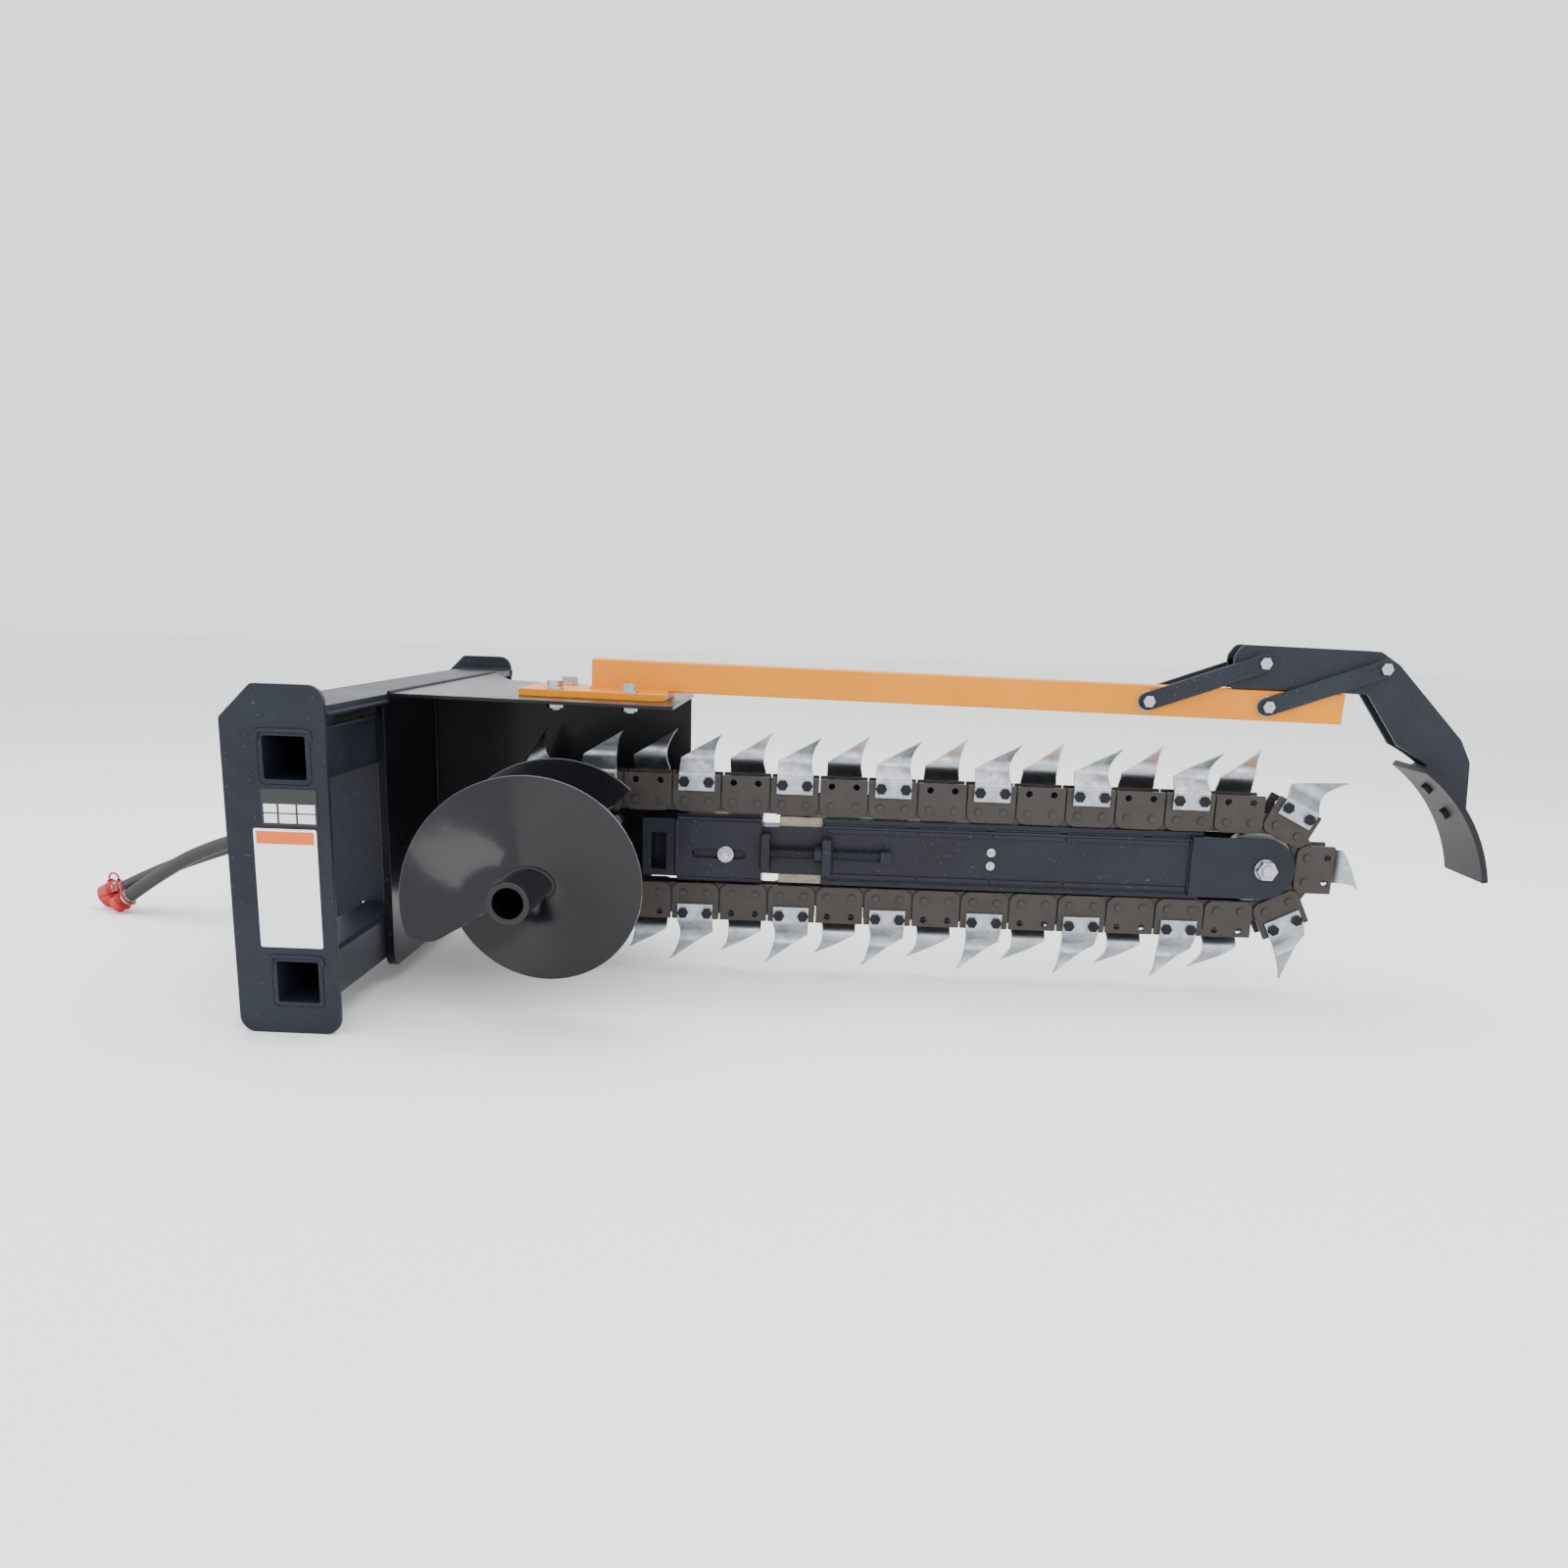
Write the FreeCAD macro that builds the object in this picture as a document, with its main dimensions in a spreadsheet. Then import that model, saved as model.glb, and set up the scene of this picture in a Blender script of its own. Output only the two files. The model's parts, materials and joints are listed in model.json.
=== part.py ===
import FreeCAD, Part
import math
import os

# Trencher attachment for a skid-steer loader.
# Millimetres. +Z up, +X from the loader out along the digging boom, and the
# near (auger) side is -Y. X = 0 is the rear edge of the mount's side plates,
# Y = 0 is the middle of the mount, and Z = 0 is the surface that it stands on.

V = FreeCAD.Vector
AXIS_X, AXIS_Y, AXIS_Z = V(1, 0, 0), V(0, 1, 0), V(0, 0, 1)

doc = FreeCAD.newDocument("trencher")
sheet = doc.addObject("Spreadsheet::Sheet", "Sizes")

SIZES = {
    # mount frame that the loader picks up
    "mount_width": 1140,
    "side_depth": 151,
    "rib_plate": 8,
    "near_rib": -172,
    "far_rib": 213,
    "side_height": 508,
    "side_plate": 10,
    "side_chamfer": 48,
    "side_radius": 24,
    "tube_size": 75,
    "tube_wall": 7,
    "tube_radius": 8,
    "tube_across": 90.8,
    "tube_low": 78.6,
    "tube_high": 405.9,
    "mount_top": 480,
    "mount_plate": 12,
    "hook_reach": 37,
    "sill_plate": 12,
    "sill_level": 41,
    "sill_rear": 6,
    "slot_half_spacing": 390,
    "slot_width": 26,
    "slot_length": 60,
    "gusset_plate": 10,
    # housing round the drive
    "back_plate": 14,
    "housing_near": 285,
    "housing_far": 418,
    "back_foot": 29,
    "deck_start": 151,
    "deck_end": 605,
    "deck_level": 481,
    "deck_plate": 6,
    "deck_slope": 0.8,
    "side_wall_inner": 4,
    "side_wall_plate": 10,
    # drive and chain
    "head_across": 420.8,
    "nose_across": 1603.5,
    "axis_height": 225.2,
    "chain_middle": 112,
    "chain_pitch": 42,
    "sprocket_teeth": 12,
    "nose_pitch_radius": 76.8,
    "roller_diameter": 22,
    "pin_diameter": 11,
    "inner_width": 32,
    "inner_plate": 5.5,
    "outer_plate": 6,
    "link_length": 82,
    "link_inward": 18,
    "link_outward": 46,
    "bolt_row": 34,
    "tooth_plate": 6,
    "tooth_width": 62,
    "shaft_diameter": 50,
    "auger_radius": 165,
    "auger_pitch": 228,
    "auger_plate": 6,
    "auger_tube_diameter": 60,
    "auger_bore": 44,
    "auger_end": 646,
    "auger_tube_inner_end": 152,
    # boom
    "beam_width": 64,
    "beam_low": 178,
    "beam_high": 272,
    "beam_start": 849,
    "beam_end": 1500,
    "beam_wall": 6,
    "rail_height": 11,
    "rail_width": 50,
    "base_start": 538,
    "sleeve_start": 598,
    "sleeve_end": 745,
    "slot_height": 217,
    "clamp_across": 683,
    "screw_diameter": 16,
    "screw_height": 224,
    "screw_offset": 162,
    "yoke_plate": 10,
    "yoke_radius": 51.5,
    "axle_diameter": 20,
    # crumber bar above the chain
    "bar_size": 50,
    "bar_wall": 4,
    "bar_start": 308,
    "bar_length": 1255,
    "flange_plate": 12,
    "crumb_link": 196,
    "link_spacing": 197,
    "link_rise": 20.8,
    "link_width": 30,
    "link_plate": 8,
    "spacer": 3,
    "shoe_width": 150,
    "shoe_plate": 10,
    # hydraulic hoses
    "hose_diameter": 27,
}
for row, (alias, value) in enumerate(SIZES.items(), start=1):
    sheet.set("A%d" % row, alias)
    sheet.set("B%d" % row, str(value))
    sheet.setAlias("B%d" % row, alias)
doc.recompute()

pieces = []


def size(alias):
    """A driving dimension, read back from the sheet."""
    return float(sheet.get(alias))


# ---- small tools that every sub-part uses ---------------------------------

def closed_profile(points, normal=AXIS_Z):
    """Lines and arcs of a closed outline. A point is (a, b) or (a, b, corner radius)."""
    corners = []
    count = len(points)
    for i, point in enumerate(points):
        here = V(point[0], point[1], 0)
        radius = point[2] if len(point) > 2 else 0
        if not radius:
            corners.append((here, here, None))
            continue
        before = (V(*points[i - 1][:2], 0) - here).normalize()
        after = (V(*points[(i + 1) % count][:2], 0) - here).normalize()
        half = before.getAngle(after) / 2
        reach = radius / math.tan(half)
        inward = (before + after).normalize()
        top = here + inward * (radius / math.sin(half) - radius)
        corners.append((here + before * reach, here + after * reach, top))
    edges = []
    for i, (start, end, top) in enumerate(corners):
        if top is not None:
            edges.append(Part.Arc(start, top, end))
        following = corners[(i + 1) % count][0]
        if (following - end).Length > 1e-6:
            edges.append(Part.LineSegment(end, following))
    return edges


def flat_face(points, holes=()):
    """A planar face in the XY plane, with round holes (a, b, radius)."""
    wires = [Part.Wire([edge.toShape() for edge in closed_profile(points)])]
    for a, b, radius in holes:
        wires.append(Part.Wire([Part.makeCircle(radius, V(a, b, 0))]))
    return Part.makeFace(wires, "Part::FaceMakerBullseye")


def upright(shape):
    """Turn a shape drawn in XY so that its second axis is +Z and its third is -Y."""
    shape.rotate(V(0, 0, 0), AXIS_X, 90)
    return shape


def box_outline(a0, b0, a1, b1, radius=0):
    return [(a0, b0, radius), (a1, b0, radius), (a1, b1, radius), (a0, b1, radius)]


def set_expressions(thing, expressions):
    for path, expression in expressions.items():
        thing.setExpression(path, expression)


def body_with_sketch(label, plane, loops, circles=()):
    """A body and a sketch of closed outlines and circles on one of its own planes."""
    body = doc.addObject("PartDesign::Body", label)
    sketch = body.newObject("Sketcher::SketchObject", label + "_outline")
    support = next(f for f in body.Origin.OriginFeatures if f.Role == plane)
    sketch.AttachmentSupport = [(support, "")]
    sketch.MapMode = "FlatFace"
    for loop in loops:
        sketch.addGeometry(closed_profile(loop), False)
    for a, b, radius in circles:
        sketch.addGeometry(Part.Circle(V(a, b, 0), AXIS_Z, radius), False)
    return body, sketch


def plate(label, plane, loops, length, place, circles=()):
    """A padded plate: XZ plates grow towards +Y, XY plates up and YZ plates towards +X."""
    body, sketch = body_with_sketch(label, plane, loops, circles)
    pad = body.newObject("PartDesign::Pad", label + "_pad")
    pad.Profile = sketch
    pad.Reversed = plane == "XZ_Plane"
    pad.setExpression("Length", length)
    body.Tip = pad
    set_expressions(body, {"Placement.Base." + axis: text for axis, text in place.items()})
    pieces.append(body)
    return body


def turned(label, profile, place, rotation=None):
    """A body turned about its own Z axis from (radius, height) points."""
    body, sketch = body_with_sketch(label, "XZ_Plane", [profile])
    turn = body.newObject("PartDesign::Revolution", label + "_turn")
    turn.Profile = sketch
    turn.ReferenceAxis = (sketch, ["V_Axis"])
    turn.Angle = 360
    body.Tip = turn
    body.Placement = FreeCAD.Placement(place, rotation or FreeCAD.Rotation())
    pieces.append(body)
    return body


def feature(label, shape, place=None):
    """A sub-part whose shape is built directly, such as a group of like pieces."""
    thing = doc.addObject("Part::Feature", label)
    thing.Shape = shape
    if place is not None:
        thing.Placement = place
    pieces.append(thing)
    return thing


def group(solids):
    return Part.makeCompound(list(solids))


def moved(shape, offset):
    copy = shape.copy()
    copy.translate(offset)
    return copy


def rod(radius, start, end, bore=0):
    """A round bar, or a ring, between two points."""
    along = end - start
    bar = Part.makeCylinder(radius, along.Length, start, along)
    if bore:
        bar = bar.cut(Part.makeCylinder(bore, along.Length, start, along))
    return bar


def hex_prism(across_flats, start, end, bore=0):
    """A hexagon bar between two points, with a flat facing up where it lies level."""
    along = end - start
    corner = across_flats / math.sqrt(3)
    points = [(corner * math.cos(math.radians(60 * i)), corner * math.sin(math.radians(60 * i)))
              for i in range(6)]
    prism = flat_face(points).extrude(V(0, 0, along.Length))
    turn = FreeCAD.Rotation(AXIS_Z, along)
    prism.Placement = FreeCAD.Placement(start, turn)
    if bore:
        prism = prism.cut(Part.makeCylinder(bore, along.Length, start, along))
    return prism


def block(x0, x1, y0, y1, z0, z1):
    return Part.makeBox(x1 - x0, y1 - y0, z1 - z0, V(x0, y0, z0))


# ---- places that several sub-parts share -----------------------------------

half_width = size("mount_width") / 2
chain_y = -size("chain_middle")
axis_z = size("axis_height")
head = V(size("head_across"), 0, axis_z)
nose = V(size("nose_across"), 0, axis_z)
deck_origin = V(size("back_plate") + size("tube_across") + size("tube_size") / 2, 0, size("deck_level"))
deck_turn = FreeCAD.Rotation(AXIS_Y, size("deck_slope"))
deck = FreeCAD.Placement(deck_origin, deck_turn)
tube_front = size("tube_across") + size("tube_size") / 2

# ---- mount frame -----------------------------------------------------------

side_depth = size("side_depth")
side_height = size("side_height")
side_chamfer = size("side_chamfer")
side_radius = size("side_radius")
side_outline = [
    (0, 0, side_radius),
    (side_depth, 0, side_radius),
    (side_depth, side_height, side_radius),
    (side_chamfer, side_height, 8),
    (0, side_height - side_chamfer, 8),
]
tube_clearance = 0.2
hole_half = size("tube_size") / 2 + tube_clearance
tube_windows = []
for level in (size("tube_low"), size("tube_high")):
    across = size("tube_across")
    tube_windows.append(box_outline(across - hole_half, level - hole_half,
                                    across + hole_half, level + hole_half, size("tube_radius")))
plate("side_plate_near", "XZ_Plane", [side_outline] + tube_windows,
      "Sizes.side_plate", {"y": "-Sizes.mount_width / 2"})
plate("side_plate_far", "XZ_Plane", [side_outline] + tube_windows,
      "Sizes.side_plate", {"y": "Sizes.mount_width / 2 - Sizes.side_plate"})

tube_half = size("tube_size") / 2
bore_half = tube_half - size("tube_wall")
tube_ring = [box_outline(-tube_half, -tube_half, tube_half, tube_half, size("tube_radius")),
             box_outline(-bore_half, -bore_half, bore_half, bore_half, 3)]
for name, level in (("cross_tube_upper", "tube_high"), ("cross_tube_lower", "tube_low")):
    plate(name, "XZ_Plane", tube_ring, "Sizes.mount_width",
          {"x": "Sizes.tube_across", "y": "-Sizes.mount_width / 2", "z": "Sizes." + level})

inner_half = half_width - size("side_plate")
hook_reach = size("hook_reach")
plate("mount_top_plate", "XY_Plane",
      [box_outline(hook_reach, -inner_half, side_depth, inner_half)], "Sizes.mount_plate",
      {"z": "Sizes.mount_top - Sizes.mount_plate"})

# The hook lip slopes down at 45 degrees, and the loader's wedge edge lifts under it.
mount_top = size("mount_top")
lip_low = mount_top - hook_reach + 2
plate("hook_lip", "XZ_Plane",
      [[(2, lip_low + 2), (9, lip_low - 5), (hook_reach, mount_top - size("mount_plate")),
        (hook_reach, mount_top), (hook_reach - 2, mount_top)]],
      "Sizes.mount_width - 2 * Sizes.side_plate",
      {"y": "Sizes.side_plate - Sizes.mount_width / 2"})

# The sill's two slots take the loader's lock pins.
sill_rear = size("sill_rear")
sill_front = size("tube_across") - tube_half
sill_middle = (sill_rear + sill_front) / 2
slot_r = size("slot_width") / 2
slot_half = size("slot_length") / 2
sill_loops = [box_outline(sill_rear, -inner_half, sill_front, inner_half)]
for side in (-1, 1):
    middle = side * size("slot_half_spacing")
    sill_loops.append(box_outline(sill_middle - slot_r, middle - slot_half,
                                  sill_middle + slot_r, middle + slot_half, slot_r - 0.001))
plate("lock_pin_sill", "XY_Plane", sill_loops, "Sizes.sill_plate", {"z": "Sizes.sill_level"})

gusset_low = size("tube_high") + tube_half
gusset_high = mount_top - size("mount_plate")
gusset_face = flat_face([(-inner_half, gusset_low), (-480, gusset_low),
                         (-450, gusset_high), (-inner_half, gusset_high)])
gusset = gusset_face.extrude(V(0, 0, size("gusset_plate")))
gusset.Placement = FreeCAD.Placement(V(tube_front - size("gusset_plate"), 0, 0),
                                     FreeCAD.Rotation(AXIS_Y, AXIS_Z, AXIS_X, "XYZ"))

# Two upright ribs stiffen the frame: they stand on the sill behind the tubes and fill between them.
sill_top = size("sill_level") + size("sill_plate")
tube_low_top = size("tube_low") + tube_half + 0.3
tube_high_bottom = size("tube_high") - tube_half - 0.3
rib_outline = [(6, sill_top + 0.2), (sill_front - 0.3, sill_top + 0.2), (sill_front - 0.3, tube_low_top),
               (tube_front - 0.3, tube_low_top), (tube_front - 0.3, tube_high_bottom),
               (sill_front - 0.3, tube_high_bottom), (sill_front - 0.3, 430), (36, 430), (6, 400)]
rib = upright(flat_face(rib_outline).extrude(V(0, 0, size("rib_plate"))))
ribs = [moved(rib, V(0, size(place), 0)) for place in ("near_rib", "far_rib")]
feature("mount_ribs", group([gusset, gusset.mirror(V(0, 0, 0), AXIS_Y)] + ribs))

# ---- housing ---------------------------------------------------------------

housing_near = -size("housing_near")
housing_far = size("housing_far")
back_outline = [(housing_near, size("back_foot"), 22), (housing_far, size("back_foot"), 22),
                (housing_far, gusset_high), (housing_near, gusset_high)]
hose_window = box_outline(62, 168, 196, 318, 18)
plate("housing_back_plate", "YZ_Plane", [back_outline, hose_window], "Sizes.back_plate",
      {"x": "Sizes.tube_across + Sizes.tube_size / 2"})

deck_x0 = size("deck_start") - deck_origin.x + 0.2
deck_x1 = size("deck_end") - deck_origin.x
bolt_columns = (254, 378)
bolt_rows = (chain_y - 66, chain_y + 66)
flange_bolt_radius = 8.2
deck_holes = [(x, y, flange_bolt_radius) for x in bolt_columns for y in bolt_rows]
deck_plate = plate("housing_top_plate", "XY_Plane",
                   [[(deck_x0, housing_near), (deck_x1, housing_near, 20), (deck_x1, 50),
                     (154, 178), (90, 205), (deck_x0, housing_far)]],
                   "Sizes.deck_plate", {}, deck_holes)
deck_plate.Placement = deck.multiply(FreeCAD.Placement(V(0, 0, -size("deck_plate")),
                                                       FreeCAD.Rotation()))

back_face = tube_front + size("back_plate")
slope = math.tan(math.radians(size("deck_slope")))
wall_gap = 0.1


def under_deck(x):
    """Height of the deck's underside at x."""
    thick = size("deck_plate") / math.cos(math.radians(size("deck_slope")))
    return size("deck_level") - thick - (x - deck_origin.x) * slope - wall_gap


wall_end = size("deck_end")
notch_x = side_depth + 0.3
notch_z = size("mount_top") - size("mount_plate") - 0.3
bearing_bore = 46
bolt_square = 50
hole_r = 6.3
motor_bolt_places = [V(head.x + i * bolt_square, 0, axis_z + j * bolt_square)
                     for i in (-1, 1) for j in (-1, 1)]
plate("housing_side_wall", "XZ_Plane",
      [[(back_face, 96), (300, 96, 40), (520, 140, 40), (wall_end, 170),
        (wall_end, under_deck(wall_end)), (notch_x, under_deck(notch_x)), (notch_x, notch_z),
        (back_face, notch_z)]],
      "Sizes.side_wall_plate", {"y": "Sizes.side_wall_inner"},
      [(head.x, axis_z, bearing_bore)] + [(place.x, place.z, hole_r) for place in motor_bolt_places])

# ---- hydraulic motor and head shaft ----------------------------------------

wall_inner = size("side_wall_inner")
wall_outer = wall_inner + size("side_wall_plate")
shaft_r = size("shaft_diameter") / 2
running = 0.05


def at_head(y):
    return V(head.x, y, axis_z)


motor_flange = flat_face(box_outline(-65, -65, 65, 65, 16)).extrude(V(0, 0, 18))
motor_flange = moved(upright(motor_flange), at_head(wall_outer + 18))
motor_body = motor_flange.fuse(rod(54, at_head(wall_outer + 18), at_head(150)))
port_face = head.x - 82
port_height = 240
motor_body = motor_body.fuse(block(port_face, head.x, 76, 150, port_height - 24, port_height + 24))
motor_body = motor_body.cut(rod(shaft_r + 1, at_head(wall_outer), at_head(wall_outer + 34)))
for place in motor_bolt_places:
    motor_body = motor_body.cut(rod(hole_r, place + V(0, wall_outer - 1, 0),
                                    place + V(0, wall_outer + 19, 0)))
feature("hydraulic_motor", motor_body.removeSplitter())
turned("motor_end_cover", [(0, 0), (50, 0, 3), (50, 20, 6), (0, 20)], at_head(150),
       FreeCAD.Rotation(AXIS_X, -90))
motor_bolts = []
for place in motor_bolt_places:
    head_start = place + V(0, wall_outer + 18, 0)
    motor_bolts.append(hex_prism(19, head_start, head_start + V(0, 8, 0)).fuse(
        rod(6, place + V(0, -24, 0), head_start)))

# The bearing housing sits on the chain side of the wall, on the same four bolts.
flange_in = -10
bearing = moved(upright(flat_face(box_outline(-65, -65, 65, 65, 16)).extrude(V(0, 0, 14))),
                at_head(wall_inner))
bearing = bearing.fuse(rod(45, at_head(-36), at_head(flange_in)))
bearing = bearing.fuse(rod(bearing_bore - 0.2, at_head(wall_inner), at_head(wall_outer)))
bearing = bearing.cut(rod(shaft_r + running, at_head(-40), at_head(wall_outer + 1)))
for place in motor_bolt_places:
    bearing = bearing.cut(rod(hole_r, place + V(0, -12, 0), place + V(0, 5, 0)))
feature("bearing_housing", bearing.removeSplitter())
motor_nuts = [hex_prism(19, place + V(0, -20, 0), place + V(0, flange_in, 0), 6.1)
              for place in motor_bolt_places]
feature("motor_bolts", group(motor_bolts + motor_nuts))

hub_near = -size("auger_tube_inner_end")
stub_r = size("auger_bore") / 2 - 0.1
stub_end = -262
lock_y = -205
lock_r = 8
shaft = rod(shaft_r, at_head(hub_near), at_head(wall_outer + 30))
shaft = shaft.fuse(rod(stub_r, at_head(stub_end), at_head(hub_near)))
lock_hole = rod(lock_r + 0.2, at_head(lock_y) - AXIS_Z * 60, at_head(lock_y) + AXIS_Z * 60)
feature("head_shaft", shaft.cut(lock_hole))

# Drive sprocket: its teeth stand up between the chain's rollers.
teeth = int(size("sprocket_teeth"))
pitch = size("chain_pitch")
head_radius = pitch / (2 * math.sin(math.pi / teeth))
seat_r = size("roller_diameter") / 2 + 0.4
half_sprocket = size("inner_width") / 2 - 2
sprocket = rod(head_radius + 6, at_head(chain_y - half_sprocket), at_head(chain_y + half_sprocket))
first_seat = math.pi - math.pi / teeth
for i in range(teeth):
    angle = first_seat + 2 * math.pi * i / teeth
    seat = head + V(math.cos(angle), 0, math.sin(angle)) * head_radius
    outer = head + V(math.cos(angle), 0, math.sin(angle)) * (head_radius + 12)
    for middle, radius in ((seat, seat_r), (outer, seat_r + 5)):
        sprocket = sprocket.cut(rod(radius, middle + V(0, chain_y - 20, 0),
                                    middle + V(0, chain_y + 20, 0)))
hub_far = chain_y + half_sprocket + 20
sprocket = sprocket.fuse(rod(42, at_head(hub_near), at_head(hub_far)))
sprocket = sprocket.cut(rod(shaft_r + 0.02, at_head(hub_near - 1), at_head(hub_far + 1)))
feature("drive_sprocket", sprocket.removeSplitter())

# ---- spoil auger -----------------------------------------------------------

tube_r = size("auger_tube_diameter") / 2
auger_near = -size("auger_end")
auger_tube = rod(tube_r, at_head(auger_near), at_head(hub_near), size("auger_bore") / 2)
feature("auger_tube", auger_tube.cut(lock_hole))

auger_r = size("auger_radius")
auger_pitch = size("auger_pitch")
flight_start = auger_near + 24
flight_end = -289
flight_turns = (flight_end - flight_start) / auger_pitch
start_angle = 210
inner_helix = Part.makeHelix(auger_pitch, flight_turns * auger_pitch, tube_r + 0.05)
outer_helix = Part.makeHelix(auger_pitch, flight_turns * auger_pitch, auger_r)
sheet_face = Part.makeRuledSurface(inner_helix, outer_helix)
sheet_face.rotate(V(0, 0, 0), AXIS_X, -90)
sheet_face.rotate(V(0, 0, 0), AXIS_Y, -start_angle)
sheet_face.translate(at_head(flight_start))
flight = sheet_face.extrude(V(0, size("auger_plate"), 0))
# The leading corner of the first turn is cut round.
tip_radius = 46
tip_back = 14
corner_a = math.radians(start_angle)
tip_out = V(math.cos(corner_a), 0, math.sin(corner_a))
tip_side = V(math.sin(corner_a), 0, -math.cos(corner_a))
round_middle = tip_out * (auger_r - tip_radius) + tip_side * tip_radius
for_cut = block(-30, tip_radius, 0, 60, auger_r - tip_radius, auger_r + 20)
tip_turn = FreeCAD.Rotation(tip_side, AXIS_Y, tip_out, "XZY")
for_cut.Placement = FreeCAD.Placement(at_head(flight_start - tip_back), tip_turn)
round_keep = rod(tip_radius, at_head(flight_start - 40) + round_middle,
                 at_head(flight_start + 80) + round_middle)
flight = flight.cut(for_cut.cut(round_keep))
feature("auger_flight", flight)

lock_length = 82
lock_low = at_head(lock_y) - AXIS_Z * (tube_r + 12)
lock_high = at_head(lock_y) + AXIS_Z * (tube_r + 2)
lock_bolt = rod(lock_r, lock_low, lock_high).fuse(
    hex_prism(24, lock_high, lock_high + AXIS_Z * 10))
lock_nut = hex_prism(24, lock_low, lock_low + AXIS_Z * 11.5, lock_r + 0.05)
feature("auger_lock_bolt", group([lock_bolt, lock_nut]))

# ---- chain -----------------------------------------------------------------

nose_radius = size("nose_pitch_radius")
centre_gap = nose.x - head.x
links_per_side = 34


def chain_path(distance):
    """A point of the upper half of the chain's path, from the far left round to the nose."""
    lean = math.asin((head_radius - nose_radius) / centre_gap)
    head_arc = head_radius * (math.pi / 2 + lean)
    straight = centre_gap * math.cos(lean)
    if distance < head_arc:
        angle = math.pi - distance / head_radius
        return head + V(math.cos(angle), 0, math.sin(angle)) * head_radius
    distance -= head_arc
    leave = head + V(math.sin(lean), 0, math.cos(lean)) * head_radius
    if distance < straight:
        return leave + V(math.cos(lean), 0, -math.sin(lean)) * distance
    angle = math.pi / 2 - lean - (distance - straight) / nose_radius
    return nose + V(math.cos(angle), 0, math.sin(angle)) * nose_radius


def next_pin(distance):
    """The path distance of the pin one pitch on from the pin at this distance."""
    here = chain_path(distance)
    low, high = distance, distance + 1.4 * pitch
    for _ in range(50):
        middle = (low + high) / 2
        if (chain_path(middle) - here).Length < pitch:
            low = middle
        else:
            high = middle
    return (low + high) / 2


upper_pins = []
walked = head_radius * math.pi / teeth
for _ in range(links_per_side):
    upper_pins.append(chain_path(walked))
    walked = next_pin(walked)
lower_pins = [V(pin.x, 0, 2 * axis_z - pin.z) for pin in reversed(upper_pins)]
pins = upper_pins + lower_pins
print("chain joins up within", round((upper_pins[-1] - lower_pins[0]).Length - pitch, 4), "mm")


def link_places(first):
    """Placements of every second link: local +X along the chain, +Z outward, Y across."""
    places = []
    for i in range(first, len(pins), 2):
        start = pins[i]
        end = pins[(i + 1) % len(pins)]
        along = (end - start).normalize()
        outward = V(-along.z, 0, along.x)
        turn = FreeCAD.Rotation(along, AXIS_Y, outward, "XZY")
        places.append(FreeCAD.Placement((start + end) * 0.5 + V(0, chain_y, 0), turn))
    return places


def along_chain(shape, places):
    copies = []
    for place in places:
        copy = shape.copy()
        copy.Placement = place.multiply(copy.Placement)
        copies.append(copy)
    return copies


# Link 0 wraps the rear of the sprocket, and the tooth links are the odd ones.
outer_links = link_places(1)
inner_links = link_places(0)
half_pitch = pitch / 2
half_link = size("link_length") / 2
bolt_row = size("bolt_row")
outer_outline = [(-half_link, -size("link_inward"), 16), (half_link, -size("link_inward"), 16),
                 (half_link, size("link_outward"), 2), (-half_link, size("link_outward"), 2)]
pin_r = size("pin_diameter") / 2
bolt_hole_r = 5.4
outer_holes = [(-half_pitch, 0, pin_r + 0.1), (half_pitch, 0, pin_r + 0.1),
               (-half_pitch, bolt_row, bolt_hole_r), (half_pitch, bolt_row, bolt_hole_r)]
outer_in = size("inner_width") / 2 + size("inner_plate") + 0.5
outer_out = outer_in + size("outer_plate")
outer_face = flat_face(outer_outline, outer_holes)
outer_plate = upright(outer_face.extrude(V(0, 0, size("outer_plate"))))
near_plates = along_chain(moved(outer_plate, V(0, -outer_in, 0)), outer_links)
far_plates = along_chain(moved(outer_plate, V(0, outer_out, 0)), outer_links)
feature("chain_outer_plates", group(near_plates + far_plates))

inner_end = 17
inner_outline = [(-half_pitch - inner_end, -inner_end, 16.9), (half_pitch + inner_end, -inner_end, 16.9),
                 (half_pitch + inner_end, inner_end, 16.9), (-half_pitch - inner_end, inner_end, 16.9)]
inner_holes = [(-half_pitch, 0, pin_r + 0.1), (half_pitch, 0, pin_r + 0.1)]
inner_in = size("inner_width") / 2
inner_plate = upright(flat_face(inner_outline, inner_holes).extrude(V(0, 0, size("inner_plate"))))
inner_pair = group([moved(inner_plate, V(0, -inner_in, 0)),
                    moved(inner_plate, V(0, inner_in + size("inner_plate"), 0))])
feature("chain_inner_plates", group(solid for pair in along_chain(inner_pair, inner_links)
                                    for solid in pair.Solids))

roller_r = size("roller_diameter") / 2
roller_half = inner_in - 0.2
head_out = outer_out + 3
rollers = []
chain_pins = []
for pin in pins:
    middle = pin + V(0, chain_y, 0)
    rollers.append(rod(roller_r, middle - V(0, roller_half, 0), middle + V(0, roller_half, 0),
                       pin_r + 0.1))
    rivet = rod(pin_r, middle - V(0, outer_out, 0), middle + V(0, outer_out, 0))
    for side in (-1, 1):
        rivet = rivet.fuse(rod(pin_r + 1, middle + V(0, side * outer_out, 0),
                               middle + V(0, side * head_out, 0)))
    chain_pins.append(rivet)
feature("chain_rollers", group(rollers))
feature("chain_pins", group(chain_pins))

# Cup tooth: a bent plate whose bracket lies on the outer link plate. The blade
# leans in over the chain, then curves back out to a tip that leads the link.
tooth_t = size("tooth_plate")
tooth_half = size("tooth_width") / 2
bracket_low = 18.5
bracket_in, bracket_out = outer_out, outer_out + tooth_t
blade_top = 117
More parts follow.
